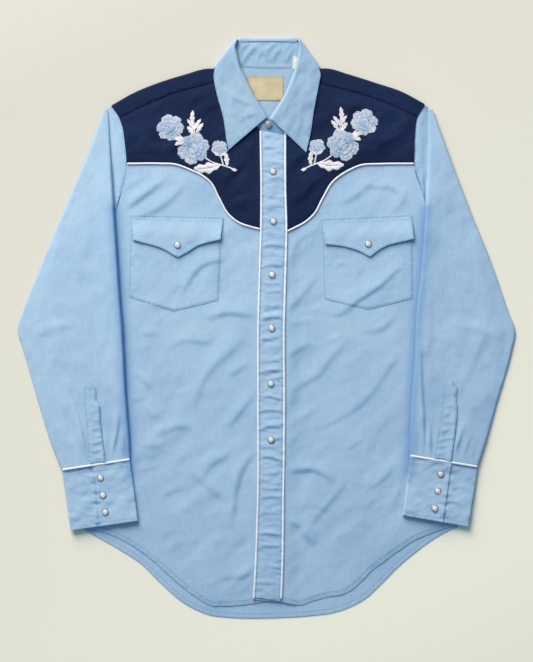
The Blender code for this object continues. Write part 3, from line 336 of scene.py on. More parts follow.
# Each crease: rise, how far it spreads above its line, and the line from left to right. The cloth
# stands up above the line and drops sharply at it.
BODY_CREASES = (
    (3.0, 14, ((-207, 160), (-129, 220))), (1.6, 12, ((-196, 148), (-140, 176), (-112, 206))),
    (1.8, 10, ((-203, 192), (-170, 216))),
    (2.2, 17, ((-122, 44), (-87, 89), (-55, 97))),
    (0.9, 14, ((-179, 30), (-122, 26))),
    (2.0, 15, ((-87, 9), (-65, 18), (-13, 16))),
    (1.2, 14, ((-141, -36), (-118, -20), (-80, -20), (-65, -7))),
    (0.8, 12, ((-176, -10), (-151, -10))),
    (1.5, 16, ((-104, -126), (-84, -70), (-41, -27), (-27, -13))),
    (1.1, 12, ((-54, -71), (-23, -50))),
    (2.0, 15, ((-55, -145), (-13, -92))),
    (0.9, 12, ((-190, -60), (-165, -88))),
    (0.9, 12, ((-176, -112), (-151, -135))),
    (1.2, 12, ((-155, -155), (-112, -142), (-98, -159))),
    (0.9, 14, ((-189, -166), (-146, -170))),
    (1.2, 13, ((-91, -216), (-70, -190), (-51, -183))),
    (1.9, 15, ((-47, -287), (-41, -230), (-33, -202), (-13, -173))),
    (1.0, 15, ((-112, -202), (-55, -251))),
    (1.3, 13, ((-61, -358), (-23, -348), (-16, -327))),
    (1.4, 14, ((30, 87), (51, 125), (77, 142))),
    (1.8, 15, ((30, 23), (51, 44), (77, 78))),
    (2.4, 17, ((77, 21), (105, 18), (129, 36), (162, 58), (190, 82), (209, 89))),
    (1.0, 12, ((30, 1), (67, 11))),
    (1.3, 14, ((129, -7), (162, -3), (190, 21))),
    (1.8, 14, ((31, -45), (48, -31), (67, -20))),
    (1.5, 15, ((30, -102), (48, -84), (72, -71), (95, -41), (129, -7))),
    (1.5, 16, ((67, -148), (95, -135), (133, -112), (162, -78), (190, -31))),
    (1.9, 14, ((30, -206), (72, -204), (95, -220))),
    (1.9, 15, ((30, -277), (44, -280), (58, -301), (67, -312))),
    (1.2, 14, ((138, -234), (162, -219), (190, -190))),
    (1.0, 13, ((180, -263), (190, -230), (202, -178))),
    (1.3, 15, ((58, -287), (95, -244), (119, -212))),
    (1.8, 12, ((131, 206), (152, 199), (176, 199), (204, 172), (219, 165))),
    (1.5, 11, ((100, 172), (128, 186), (160, 214))), (1.3, 10, ((178, 160), (200, 186), (206, 212))),
)
# Creases in the navy yokes, in the same form.
YOKE_CREASES = (
    (1.3, 12, ((-199, 257), (-192, 268), (-180, 279))), (1.1, 12, ((-178, 243), (-164, 250), (-146, 255))),
    (0.9, 12, ((-99, 315), (-86, 324), (-70, 332))), (1.0, 10, ((-86, 270), (-76, 277), (-64, 281))),
    (0.8, 14, ((-53, 200), (-44, 214), (-40, 234))), (0.9, 12, ((-50, 160), (-36, 170), (-18, 179))),
    (0.9, 12, ((31, 228), (44, 237), (60, 244))), (1.9, 17, ((40, 168), (54, 188), (76, 210))),
    (0.8, 10, ((30, 205), (40, 213), (52, 224))), (1.0, 12, ((138, 264), (160, 261), (184, 265))),
    (1.2, 11, ((152, 250), (172, 262), (197, 276))), (0.9, 11, ((194, 278), (203, 290), (206, 306))),
    (0.9, 12, ((66, 279), (76, 287), (90, 292))), (0.8, 12, ((96, 306), (116, 312), (140, 310))),
    (0.7, 14, ((-190, 300), (-170, 308), (-146, 310))),
)
# Small sharp creases between the larger ones.
FINE_CREASES = (
    (0.8, 6, ((-161, 3), (-134, 21))), (0.6, 5, ((-178, -41), (-161, -20))),
    (0.6, 5, ((-134, -80), (-115, -60))), (0.8, 5, ((-186, -62), (-164, -86))),
    (0.6, 5, ((-131, -98), (-110, -90))), (0.9, 5, ((-156, -153), (-141, -139))),
    (0.7, 6, ((-110, -150), (-88, -180))), (0.7, 6, ((-72, -160), (-56, -185))),
    (0.6, 5, ((-164, -131), (-142, -116))), (0.6, 5, ((-196, -103), (-170, -100))),
    (0.7, 6, ((-186, -205), (-150, -196))), (0.6, 6, ((-150, -240), (-118, -226))),
    (0.7, 6, ((-208, 186), (-190, 172))), (0.7, 6, ((-150, 196), (-118, 214))),
    (0.6, 6, ((36, 66), (58, 74))), (0.7, 6, ((60, 20), (84, 30))),
    (0.6, 5, ((94, 88), (120, 92))), (0.7, 6, ((150, 5), (176, 26))),
    (0.7, 6, ((88, -22), (112, -10))), (0.6, 6, ((170, -60), (190, -44))),
    (0.8, 6, ((44, -132), (76, -112))), (0.7, 6, ((110, -176), (140, -158))),
    (0.7, 6, ((60, -248), (90, -262))), (0.6, 5, ((150, -262), (172, -250))),
    (0.7, 6, ((96, -300), (128, -286))), (0.6, 6, ((196, 176), (214, 150))),
)
# Puckers across the placket: Y at its left and right edges, how high, and the share that they span.
PLACKET_PUCKERS = (
    (254, 258, 0.5, 0.0, 0.7), (236, 233, 0.4, 0.2, 1.0), (207, 211, 0.6, 0.0, 1.0),
    (188, 184, 0.4, 0.3, 1.0), (171, 175, 0.5, 0.0, 0.8), (133, 136, 0.4, 0.0, 0.6),
    (113, 115, 0.6, 0.0, 1.0), (98, 94, 0.4, 0.4, 1.0), (85, 87, 0.6, 0.0, 1.0),
    (64, 61, 0.5, 0.0, 0.8), (50, 53, 0.4, 0.3, 1.0), (33, 30, 0.4, 0.0, 0.6),
    (11, 14, 0.7, 0.0, 1.0), (-16, -14, 0.4, 0.0, 0.9), (-31, -28, 0.4, 0.2, 1.0),
    (-48, -46, 0.4, 0.0, 0.7), (-65, -61, 0.9, 0.0, 1.0), (-73, -70, 0.5, 0.5, 1.0),
    (-97, -104, 0.7, 0.0, 1.0), (-120, -119, 0.8, 0.0, 1.0), (-134, -136, 0.5, 0.0, 0.6),
    (-145, -140, 0.8, 0.0, 1.0), (-158, -157, 0.5, 0.6, 1.0), (-169, -167, 0.5, 0.0, 1.0),
    (-183, -190, 0.9, 0.0, 1.0), (-208, -205, 0.5, 0.0, 0.7), (-226, -229, 0.5, 0.2, 1.0),
    (-244, -241, 0.6, 0.0, 1.0), (-262, -263, 0.5, 0.0, 0.8), (-293, -296, 1.0, 0.0, 1.0),
    (-313, -311, 0.6, 0.0, 1.0), (-340, -343, 0.6, 0.3, 1.0), (-362, -360, 0.4, 0.0, 0.8),
)
# Creases on the sleeves, in the same form.
SLEEVE_CREASES = (
    ((1.2, 12, ((-318, 20), (-300, 90), (-282, 150))),
     (1.0, 12, ((-262, 60), (-252, 130), (-244, 200))),
     (1.3, 10, ((-332, -14), (-300, -2), (-262, 4))),
     (1.0, 11, ((-310, -70), (-292, -30), (-285, 10))),
     (1.1, 11, ((-286, -170), (-281, -110), (-270, -60))),
     (0.9, 10, ((-238, -60), (-226, -10), (-222, 40)))),
    ((1.1, 12, ((286, 150), (300, 90), (316, 30))),
     (1.0, 12, ((248, 200), (254, 130), (262, 60))),
     (1.3, 10, ((262, 2), (300, -4), (334, -16))),
     (1.2, 12, ((268, -110), (290, -60), (312, -10), (322, 30))),
     (1.0, 11, ((276, -175), (290, -130), (304, -90))),
     (0.9, 10, ((232, -40), (236, 20), (236, 70)))),
)
# Pleats that run down into the cuffs.
SLEEVE_PLEATS = (
    ((2.6, 5, ((-219, -190), (-214, -166), (-209, -135), (-208, -110))),
     (2.8, 8, ((-250.5, -196), (-255, -170), (-264, -132), (-276, -96))),
     (1.0, 5, ((-262, -198), (-268, -172), (-280, -150))),
     (0.9, 5, ((-224, -190), (-226, -168), (-224, -146))),
     (1.2, 6, ((-200, -188), (-201, -160), (-201, -140)))),
    ((2.2, 7, ((226, -186), (224, -130), (221, -80), (219.5, -20))),
     (1.5, 6, ((266, -194), (272, -168), (284, -130))),
     (1.0, 5, ((280, -196), (284, -172), (292, -150))),
     (1.2, 5, ((236, -188), (234, -164), (232, -130))),
     (0.8, 5, ((214, -184), (213, -160), (212, -140)))),
)
# Puckers across the slit's binding on each sleeve.
SLEEVE_PUCKERS = (
    ((0.5, 4, ((-249, -121), (-240, -118))), (0.6, 4, ((-244, -133), (-234, -130))),
     (0.6, 4, ((-252, -146), (-235, -143))), (0.8, 4, ((-243, -156), (-232, -153))),
     (0.8, 4, ((-248, -166), (-231, -162))), (0.9, 4, ((-247, -177), (-230, -173))),
     (0.7, 4, ((-244, -187), (-229, -184)))),
    ((0.5, 4, ((255, -112), (268, -110))), (0.6, 4, ((252, -124), (262, -122))),
     (0.6, 4, ((250, -136), (268, -134))), (0.8, 4, ((246, -148), (262, -145))),
     (0.8, 4, ((244, -160), (264, -157))), (0.9, 4, ((242, -170), (260, -167))),
     (0.7, 4, ((240, -180), (258, -178)))),
)
# Creases on the collar's leaf and on its stand behind the neck.
LEAF_CREASES = (
    (0.7, 7, ((-62, 335), (-40, 322), (-12, 312))),
    (0.6, 8, ((-36, 296), (-22, 300), (-6, 302))),
    (0.7, 8, ((24, 300), (30, 318), (33, 344))),
    (0.5, 7, ((44, 262), (48, 286), (50, 306))),
)
STAND_CREASES = (
    (0.8, 5, ((-37, 386), (-32, 396), (-22, 404))),
    (0.8, 5, ((-33, 374), (-24, 388), (-10, 402))),
    (0.6, 5, ((-14, 374), (-6, 388), (4, 398))),
    (0.7, 5, ((-2, 384), (6, 395), (16, 404))),
    (0.6, 6, ((8, 373), (14, 386), (26, 398))),
    (0.8, 5, ((30, 374), (35, 388), (43, 400))),
    (0.6, 5, ((24, 386), (31, 396), (38, 404))),
)


# --- curves and heights ------------------------------------------------------------------------

def ease(amount):
    """Ease from 0 to 1."""
    amount = np.clip(amount, 0.0, 1.0)
    return amount * amount * (3 - 2 * amount)


def blend(start, end, amount):
    """A point part of the way from one to another."""
    return np.asarray(start, float) * (1 - amount) + np.asarray(end, float) * amount


def refine(points, step, axis=0):
    """Put points on a smooth surface or line through the given ones, about a step apart."""
    points = np.moveaxis(np.asarray(points, float), axis, 0)
    gaps = np.linalg.norm(np.diff(points, axis=0), axis=-1)
    while gaps.ndim > 1:
        gaps = gaps.mean(-1)
    gaps = np.maximum(gaps, 1e-6)
    wide = gaps.reshape((-1,) + (1,) * (points.ndim - 1))
    slopes = np.diff(points, axis=0) / wide
    turns = np.concatenate([slopes[:1], (slopes[:-1] * wide[1:] + slopes[1:] * wide[:-1])
                            / (wide[1:] + wide[:-1]), slopes[-1:]])
    parts = []
    for index, gap in enumerate(gaps):
        count = max(1, round(gap / step))
        t = (np.arange(count) / count).reshape((-1,) + (1,) * (points.ndim - 1))
        parts.append((2 * t ** 3 - 3 * t ** 2 + 1) * points[index]
                     + (t ** 3 - 2 * t ** 2 + t) * gap * turns[index]
                     + (3 * t ** 2 - 2 * t ** 3) * points[index + 1]
                     + (t ** 3 - t ** 2) * gap * turns[index + 1])
    parts.append(points[-1:])
    return np.moveaxis(np.concatenate(parts), 0, axis)


def lengths_along(line):
    """Length of a line up to each of its points."""
    return np.concatenate([[0], np.cumsum(np.linalg.norm(np.diff(line, axis=0), axis=1))])


def points_at(places, line):
    """Points of a line at the given lengths along it."""
    run = lengths_along(line)
    return np.stack([np.interp(places, run, line[:, k]) for k in range(line.shape[1])], 1)


def directions(line):
    """Direction of a line at each of its points."""
    along = np.gradient(line, axis=0)
    return along / np.linalg.norm(along, axis=1)[:, None]


def resample(points, count):
    """This many points, evenly spaced along a smooth line through the given ones."""
    line = refine(points, 1.5)
    return points_at(np.linspace(0, lengths_along(line)[-1], count), line)


def straight(points, step=3.0):
    """Points along straight lines between the given ones."""
    line = []
    for start, end in zip(points, points[1:]):
        parts = max(1, round(math.dist(start, end) / step))
        line += [blend(start, end, part / parts) for part in range(parts)]
    return np.array(line + [points[-1]], float)


def shifted(line, distance):
    """The line moved sideways, to the left of its own direction."""
    line = np.asarray(line, float)
    along = directions(line)
    return line + np.stack([-along[:, 1], along[:, 0]], 1) * distance


def outline(*runs):
    """Join runs of points into one closed outline that turns anticlockwise."""
    edge = []
    for point in np.concatenate([np.asarray(run, float) for run in runs]):
        if not edge or math.dist(point, edge[-1]) > 0.3:
            edge.append(tuple(point))
    if math.dist(edge[0], edge[-1]) < 0.3:
        edge.pop()
    return edge if area_of(edge) > 0 else edge[::-1]


def area_of(edge):
    """Area inside a closed outline, below zero where it turns clockwise."""
    return sum(a[0] * b[1] - b[0] * a[1] for a, b in zip(edge, edge[1:] + edge[:1])) / 2


def near(x, y, line):
    """Distance to a line, the place along it, the side (1 is left of it), and its length."""
    away = np.full(np.shape(x), 1e9)
    place, side, run = np.zeros_like(away), np.ones_like(away), 0.0
    for (ax, ay), (bx, by) in zip(line, line[1:]):
        length = math.hypot(bx - ax, by - ay)
        if length < 1e-6:
            continue
        dx, dy = (bx - ax) / length, (by - ay) / length
        along = np.clip((x - ax) * dx + (y - ay) * dy, 0, length)
        px, py = x - ax - along * dx, y - ay - along * dy
        distance = np.hypot(px, py)
        closer = distance < away
        away = np.where(closer, distance, away)
        place = np.where(closer, run + along, place)
        side = np.where(closer, np.sign(dx * py - dy * px), side)
        run += length
    return away, place, side, run


def patches(x, y, seed):
    """Soft random hills and hollows, one unit apart, from -1 to 1."""
    lattice = np.random.default_rng(seed).uniform(-1, 1, (64, 64))
    column, row = np.floor(x).astype(int), np.floor(y).astype(int)
    right, up = ease(x - column), ease(y - row)
    low = lattice[column % 64, row % 64] * (1 - right) + lattice[(column + 1) % 64, row % 64] * right
    high = (lattice[column % 64, (row + 1) % 64] * (1 - right)
            + lattice[(column + 1) % 64, (row + 1) % 64] * right)
    return low * (1 - up) + high * up


def creased(x, y, table, flank=2.0):
    """Rise of the cloth above each crease's line, with a sharp drop at the line."""
    rise = np.zeros(np.shape(x))
    for height, spread, points in table:
        line = refine(points, 9.0)
        reach = spread * 2.5
        low, high = line.min(0) - reach, line.max(0) + reach
        hit = (x > low[0]) & (x < high[0]) & (y > low[1]) & (y < high[1])
        if not hit.any():
            continue
        away, place, side, run = near(x[hit], y[hit], line)
        across = away * side
        taper = np.sin(np.pi * np.clip(place / run, 0, 1)) ** 0.8
        fall = np.exp(-(np.maximum(across, 0) / spread) ** 2)
        rise[hit] += height * taper * fall / (1 + np.exp(-across / flank))
    return rise


def crumple(x, y, seed=11):
    """Low, uneven waves that run up to the right, as folding and wear leave them."""
    along, across = (x + y) * 0.707, (y - x) * 0.707
    across = across + 9 * patches(x / 50, y / 50, seed + 3)
    return (0.42 * patches(along / 62, across / 21, seed)
            + 0.20 * patches(along / 24 + 9, across / 10, seed + 1)
            + 0.07 * patches(x / 7, y / 6, seed + 2))


def puckers(away, place, seed, step=6.0, reach=6.0):
    """Small waves along a sewn edge, which die out away from it."""
    return (patches(place / step, away / 12, seed) + 0.5 * patches(place / step * 2.3, away / 9, seed + 1)
            ) * np.exp(-away / reach)


LOWER_EDGE = np.concatenate([
    refine(SIDE_SEAM[LEFT], 12), refine(FRONT_HEM[LEFT][:-1], 8)[1:],
    refine(FRONT_HEM[RIGHT], 8)[::-1], refine(SIDE_SEAM[RIGHT], 12)[::-1]])
YOKE_SEAMS = [refine(YOKE_EDGE[side], 6) for side in (LEFT, RIGHT)]
# The sleeves' folds beside the body, below the yokes.
INNER_FOLDS = [[(row[1], row[0]) for row in SLEEVE_RINGS[side] if row[0] < 215] for side in (LEFT, RIGHT)]


def lapped(x, side):
    """The right front lies higher where it laps over the left one."""
    return LAYER * (1 - ease((x - 30) / 20)) if side == RIGHT else 0.0


def front_under(x, y, side):
    """Underside of a front, on the back and on the yoke's lining."""
    base = LAYER + LAYER * ease((y - 90) / 130)
    calm = ease((207 - np.abs(x - 2)) / 22) * ease((np.abs(x - 8.5) - 18) / 10)
    calm = calm * (0.45 + 0.55 * ease((222 - y) / 40)) * ease((345 - y) / 60)
    away, place, _, _ = near(x, y, LOWER_EDGE)
    lower = 1 + 0.45 * ease((-100 - y) / 80)
    rise = (0.8 * lower * creased(x, y, BODY_CREASES, 1.25) + 0.85 * creased(x, y, FINE_CREASES, 0.8)
            + lower * crumple(x, y))
    sewn, along, _, _ = near(x, y, YOKE_SEAMS[side])
    rise = rise + 0.25 * puckers(sewn, along, 31 + side, 9, 9)
    rise = rise * calm * ease(away / 30) + 0.22 * puckers(away, place, 35, 8, 7)
    return base + np.maximum(rise, -0.6) - 0.6 * (1 - ease(away / 8)) + lapped(x, side)


def yoke_under(x, y, side):
    """Underside of a front yoke, pressed down along its sewn edges."""
    away, place, _, _ = near(x, y, YOKE_SEAMS[side])
    top, run, _, _ = near(x, y, refine(SHOULDER_SEAM[side], 10))
    pressed = 0.6 * (1 - ease(away / 5)) + 0.76 * (1 - ease((top - 2) / 5))
    loose = ease((away - 3) / 18) * ease((top - 4) / 14) * ease((np.abs(x - 9) - 20) / 14)
    rise = 0.5 + 2.0 * crumple(x * 1.5, y * 1.5, 46) + 1.15 * creased(x, y, YOKE_CREASES, 2.2)
    return (front_under(x, y, side) + LAYER - pressed + loose * rise
            + 0.12 * puckers(away, place, 41 + side, 8, 6)
            + 0.1 * puckers(top, run, 43, 8, 6))


def pocket_under(x, y, side):
    """Underside of a pocket, sewn down on all but its top edge."""
    sewn = np.concatenate([straight(POCKET[side][1:], 6), [POCKET[side][0]]])
    away, place, _, _ = near(x, y, sewn)
    return (front_under(x, y, side) + 1.04 - 0.3 * (1 - ease(away / 4))
            + 0.08 * puckers(away, place, 51 + side, 7, 6)
            + 0.45 * ease(away / 7) * crumple(x * 1.6, y * 1.6, 57 + side))


def flap_under(x, y, side):
    """Underside of a flap, sewn down at its top and lying on its pocket below."""
    top, place, _, _ = near(x, y, np.array(FLAP_TOP[side], float))
    away, run, _, _ = near(x, y, refine(FLAP_EDGE[side], 5))
    left, right = sorted((FLAP_EDGE[side][0], FLAP_EDGE[side][-1]))
    lift = (1.7 * np.exp(-(np.hypot(x - right[0], y - right[1]) / 20) ** 2)
            + 0.6 * np.exp(-(np.hypot(x - left[0], y - left[1]) / 16) ** 2))
    climb = 1.0 + 2.2 * ease(top / 30)
    gathers = np.sin((place + 0.5 * top) * 2 * np.pi / 4.9 + patches(place / 17, top, 66))
    return (front_under(x, y, side) + climb + lift + 0.3 * (1 - ease(away / 5))
            + 0.27 * gathers * ease(top / 1.2) * ease((6.5 - top) / 1.5)
            + 0.16 * puckers(top, place, 61 + side, 5, 5)
            + 0.2 * puckers(away, run, 63, 9, 6) + 0.2 * crumple(x * 1.5, y * 1.5, 67))


def placket_line(y, side):
    """X of the piping on one side of the placket."""
    return np.interp(-y, [-row[0] for row in PLACKET_LINES], [row[1 + side] for row in PLACKET_LINES])


def placket_under(x, y):
    """Underside of the placket, drawn up in puckers between its two lines of piping."""
    rise = np.zeros(np.shape(x))
    left, right = placket_line(y, LEFT), placket_line(y, RIGHT)
    across = np.clip((x - left) / (right - left), 0, 1)
    for y_left, y_right, height, start, end in PLACKET_PUCKERS:
        bow = 2.2 * np.sin(across * np.pi) * (1 if height > 0.55 else -0.6)
        drop = y - (y_left + (y_right - y_left) * across + bow)
        share = np.clip((across - start + 0.12) / (end - start + 0.24), 0, 1)
        span = np.sin(np.pi * share) ** 0.5
        fall = np.exp(-(np.maximum(drop, 0) / 5.5) ** 2) / (1 + np.exp(-drop / 0.75))
        rise += 1.45 * height * span * fall
    rise += (0.35 * patches((x + y / 2) / 15, (y - x / 3) / 7, 71)
             + 0.3 * patches((x - y / 2) / 9, (y + x / 4) / 3.8, 72))
    edge = np.minimum(across, 1 - across) * (right - left)
    rise = rise * (0.4 + 0.6 * ease(edge / 9)) + 0.45 * puckers(edge, y + 400 * (across > 0.5), 73, 4.5, 5)
    return front_under(np.minimum(x, 29), y, RIGHT) + LAYER + rise - 0.3 * (1 - ease(edge / 4))


def sleeve_span(y, side):
    """X of a sleeve's two edges at height y."""
    table = refine(SLEEVE_RINGS[side], 6)[::-1]
    return np.interp(y, table[:, 0], table[:, 1]), np.interp(y, table[:, 0], table[:, 2])


def sleeve_base(x, y, side):
    """What a sleeve lies on: the body, then the ground beside it."""
    line = np.array(BODY_LINE[side])[::-1]
    reach = np.abs(np.interp(y, line[:, 0], line[:, 1]))
    return 2 * LAYER * (1 - ease((np.abs(x) - reach) / SLOPE))


def sleeve_air(x, y, side):
    """How far a sleeve's upper side stands above its lower side."""
    inner, outer = sleeve_span(y, side)
    share = (x - inner) / (outer - inner)
    fold = ease((280 - y) / 110) * (0.2 + 0.8 * ease((y + 190) / 130))
    air = 1.6 + (4.2, 3.0)[side] * fold * np.exp(-(np.abs(x - inner) / 26) ** 2)
    air = air + 0.6 * (2 * LAYER - sleeve_base(x, y, side)) * ease(np.abs(outer - x) / 30)
    air = air + 0.8 * creased(x, y, SLEEVE_CREASES[side], 2.6) + creased(x, y, SLEEVE_PLEATS[side], 0.7)
    along, across = (y * 2.4 - x * OUTWARD[side]) * 0.38, x + y * 0.3
    waves = (0.5 * patches(along / 40, across / 19, 81 + side) + 0.3 * patches(x / 13, y / 16, 83 + side)
             + 0.1 * patches(x / 6, y / 7, 85 + side))
    above = y - CUFF_PIPING[side][0][1] + 15 * share
    cuff, tied = ease(above / 60), ease(above / 30)
    gather = 0.75 * patches(x / 5.5, y / 70, 87 + side) * (1 - cuff) * (0.4 + 0.6 * tied)
    air = (air + waves * ease((300 - y) / 60)) * tied + 2.1 * (1 - tied)
    return np.maximum(air + gather, 0.6)


def swell_inside(inwards):
    """How full a sleeve is at a distance in from its nearer fold, from 0 to 1: a quarter circle."""
    return np.sqrt(1 - (1 - np.clip(inwards / 3.5, 0, 1)) ** 2)


def sleeve_top(x, y, side):
    """Upper face of a sleeve."""
    inner, outer = sleeve_span(y, side)
    swell = swell_inside(np.minimum(np.abs(x - inner), np.abs(outer - x)))
    return sleeve_base(x, y, side) + 2 * WALL + 0.3 + sleeve_air(x, y, side) * (0.5 + 0.5 * swell)


# --- making pieces -----------------------------------------------------------------------------

def add_object(name, data):
    """A new object in the scene."""
    item = bpy.data.objects.new(name, data)
    bpy.context.scene.collection.objects.link(item)
    return item


def mesh_of(name, shape):
    """Make a bmesh a mesh."""
    mesh = bpy.data.meshes.new(name)
    shape.to_mesh(mesh)
    shape.free()
    return mesh


def add_piece(name, mesh, finish, stands_for=()):
    """Scale a finished mesh to metres and put it in the shirt's body."""
    mesh.transform(SCALE)
    mesh.materials.append(finish)
    mesh.shade_smooth()
    piece = add_object(name, mesh)
    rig.ride(piece, "root")
    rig.slot(piece, SLOTS[finish.name.split(".")[0]])
    if stands_for:
        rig.replaces(piece, *stands_for)
    return piece


# The record's slot for each finish.
SLOTS = {
    "light_blue_cloth": "light_blue_cloth", "collar_cloth": "light_blue_cloth",
    "blue_thread": "light_blue_cloth", "navy_cloth": "navy_cloth", "navy_thread": "navy_cloth",
    "white_cord": "white_cord", "white_tape": "white_cord", "flower_thread": "white_cord",
    "cream_label": "cream_label", "label_thread": "cream_label",
    "pearl_snap": "pearl_snap", "dark_snap": "pearl_snap",
}
# What each sheet of cloth lies on.
RESTS = {
    "back": ("floor",), "back_yoke": ("floor",), "yoke_lining": ("back_yoke",),
    "front_left": ("back", "yoke_lining"), "front_right": ("back", "yoke_lining", "front_left"),
    "yoke_front_left": ("front_left",), "yoke_front_right": ("front_right",),
    "placket": ("front_right",), "pocket_left": ("front_left",), "pocket_right": ("front_right",),
    "flap_left": ("pocket_left", "front_left"), "flap_right": ("pocket_right", "front_right"),
    "sleeve_left": ("floor", "back", "front_left"), "sleeve_right": ("floor", "back", "front_right"),
    "sleeve_placket_left": ("sleeve_left",), "sleeve_placket_right": ("sleeve_right",),
    "cuff_left": ("floor", "front_left"), "cuff_right": ("floor", "front_right"),
    "collar_stand": ("yoke_lining", "yoke_front_left", "yoke_front_right", "placket"),
    "collar_leaf": ("floor", "collar_stand", "yoke_front_left", "yoke_front_right"),
    "label": ("yoke_lining",), "size_tab": ("collar_stand",),
}


SMALLEST_SHEET = 10.0


def declare(piece, node, width, length, area):
    """Say how large the sheet was cut, and what it lies on. The tab is too small to be one."""
    if min(width, length) > SMALLEST_SHEET:
        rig.sheet(piece, flat=(width * MM, length * MM), held="laid", rests_on=RESTS[node],
                 area=min(area, width * length) * MM * MM)


def sheet_size(rows):
    """Width, length and area of a sheet through rows of points."""
    across = np.linalg.norm(np.diff(rows, axis=1), axis=2)
    down = np.linalg.norm(np.diff(rows, axis=0), axis=2)
    area = float((0.25 * (across[:-1] + across[1:]) * (down[:, :-1] + down[:, 1:])).sum())
    width, length = float(across.sum(1).max()), float(down.sum(0).max())
    return width, length, area


def fetched(items, name):
    """A vector for each of a mesh's items."""
    values = np.zeros(len(items) * 3)
    items.foreach_get(name, values)
    return values.reshape(-1, 3)


def thicken(piece, wall):
    """Give an open surface its wall, on the side that its faces point to, with crisp cut edges. Painted
    shade: the cloth's colour is deeper on the side of each crease that faces away from the lamp, and a
    painted shadow lies close to the sleeves' folds; how much is kept at each point."""
    mesh = piece.data
    mesh.update()
    x, y, _ = fetched(mesh.vertices, "co").T / MM
    over, up, rise = fetched(mesh.vertex_normals, "vector").T
    steep = np.sqrt(np.clip(1 - rise ** 2, 0, 1))
    # Painted shade on slopes that face away from the lamp, and painted shadow near the sleeves' folds.
    away_from_lamp = (0.35 * over - 0.94 * up) * np.sign(rise + 1e-6)
    beside = np.maximum(*[np.exp(-(near(x, y, line)[0] / 9) ** 2) for line in INNER_FOLDS])
    note(mesh, "Deep", np.clip(1.8 * (away_from_lamp - 0.03), 0, 0.45) + (0.42 + 0.2 * steep) * beside)
    solid = piece.modifiers.new("Cloth", "SOLIDIFY")
    solid.thickness = wall * MM
    solid.offset = 1
    walled = bpy.data.meshes.new_from_object(piece.evaluated_get(bpy.context.evaluated_depsgraph_get()))
    piece.modifiers.clear()
    piece.data = walled
    walled.set_sharp_from_angle(angle=math.radians(62))
    return piece


def note(mesh, name, values):
    """Keep one number for each point of the cloth."""
    layer = mesh.attributes.new(name, "FLOAT", "POINT")
    layer.data.foreach_set("value", np.asarray(values, np.float32))


def cut_cloth(edge, pitch):
    """A flat piece cut to its outline and ruled into squares."""
    cloth = bmesh.new()
    cloth.faces.new([cloth.verts.new((x, y, 0)) for x, y in edge])
    for axis in (0, 1):
        normal = Vector((1 - axis, axis, 0))
        low, high = min(p[axis] for p in edge), max(p[axis] for p in edge)
        rest = list(cloth.faces)
        for line in range(math.floor(low / pitch) + 1, math.ceil(high / pitch)):
            parts = set(rest)
            for face in rest:
                parts.update(face.edges)
                parts.update(face.verts)
            cut = bmesh.ops.bisect_plane(cloth, geom=list(parts), dist=1e-4,
                                         plane_co=normal * line * pitch, plane_no=normal)
            rest = [item for item in cut["geom"] if isinstance(item, bmesh.types.BMFace)
                    and max(v.co[axis] for v in item.verts) > line * pitch + 1e-3]
    return cloth


NO_ROW = -9.0            # no row of stitches near the edge
CLOTH_NUMBERS = ("Edge", "Along", "Row")


def lay(name, edge, under, finish, pitch=3.0, wall=WALL, sewn=None, row=NO_ROW):
    """Cut a flat piece and lay it on a height; row is how far from its sewn edge the stitches run."""
    mesh = mesh_of(name, cut_cloth(edge, pitch))
    points = fetched(mesh.vertices, "co")
    x, y = points[:, 0], points[:, 1]
    points[:, 2] = under(x, y)
    mesh.vertices.foreach_set("co", points.ravel())
    line = edge + edge[:1] if sewn is None else sewn
    away, place, _, whole = near(x, y, line)
    if math.dist(line[0], line[-1]) < 0.01:
        place = np.minimum(place, whole - place)
    note(mesh, "Edge", away)
    note(mesh, "Along", place)
    note(mesh, "Row", np.full(len(x), row))
    corners = np.zeros(len(mesh.loops), int)
    mesh.loops.foreach_get("vertex_index", corners)
    mesh.uv_layers.new(name="Cloth").data.foreach_set("uv", (points[corners, :2] * MM).ravel())
    piece = thicken(add_piece(name + "_cloth", mesh, finish, (name,)), wall)
    declare(piece, name, *np.ptp(np.array(edge), axis=0), abs(area_of(edge)))


def spread_rows(cloth, rows, away, place, row=NO_ROW, under=False, uv=None):
    """Add a sheet through rows of points to a bmesh. Its upper half looks up, or down where the
    sheet is the under layer of a fold."""
    down, across = rows.shape[:2]
    made = bmesh.ops.create_grid(cloth, x_segments=across - 1, y_segments=down - 1, size=0.5)["verts"]
    layers = [cloth.verts.layers.float[name] for name in CLOTH_NUMBERS]
    grain = cloth.loops.layers.uv["Cloth"]
    if uv is None:
        step_a = np.linalg.norm(np.diff(rows, axis=1), axis=2).mean(0)
        step_d = np.linalg.norm(np.diff(rows, axis=0), axis=2).mean(1)
        run_a = np.concatenate([[0], np.cumsum(step_a)]) * MM
        run_d = np.concatenate([[0], np.cumsum(step_d)]) * MM
        uv = np.stack(np.meshgrid(run_a, -run_d), 2)
    spot = {}
    for corner in made:
        column = round((corner.co.x + 0.5) * (across - 1))
        line = round((corner.co.y + 0.5) * (down - 1))
        spot[corner] = (line, column)
        corner.co = Vector(rows[line, column])
        for layer, value in zip(layers, (away[line, column], place[line, column], row)):
            corner[layer] = value
    faces = {face for corner in made for face in corner.link_faces}
    for face in faces:
        face.normal_update()
        for loop in face.loops:
            loop[grain].uv = uv[spot[loop.vert]]
    middles = {face: face.calc_center_median().z for face in faces}
    level = np.median(list(middles.values()))
    lean = sum(face.normal.z * face.calc_area() for face, z in middles.items() if z >= level)
    if (lean < 0) != under:
        bmesh.ops.reverse_faces(cloth, faces=list(faces))


def new_cloth():
    """An empty bmesh with the cloth's layers."""
    cloth = bmesh.new()
    for name in CLOTH_NUMBERS:
        cloth.verts.layers.float.new(name)
    cloth.loops.layers.uv.new("Cloth")
    return cloth


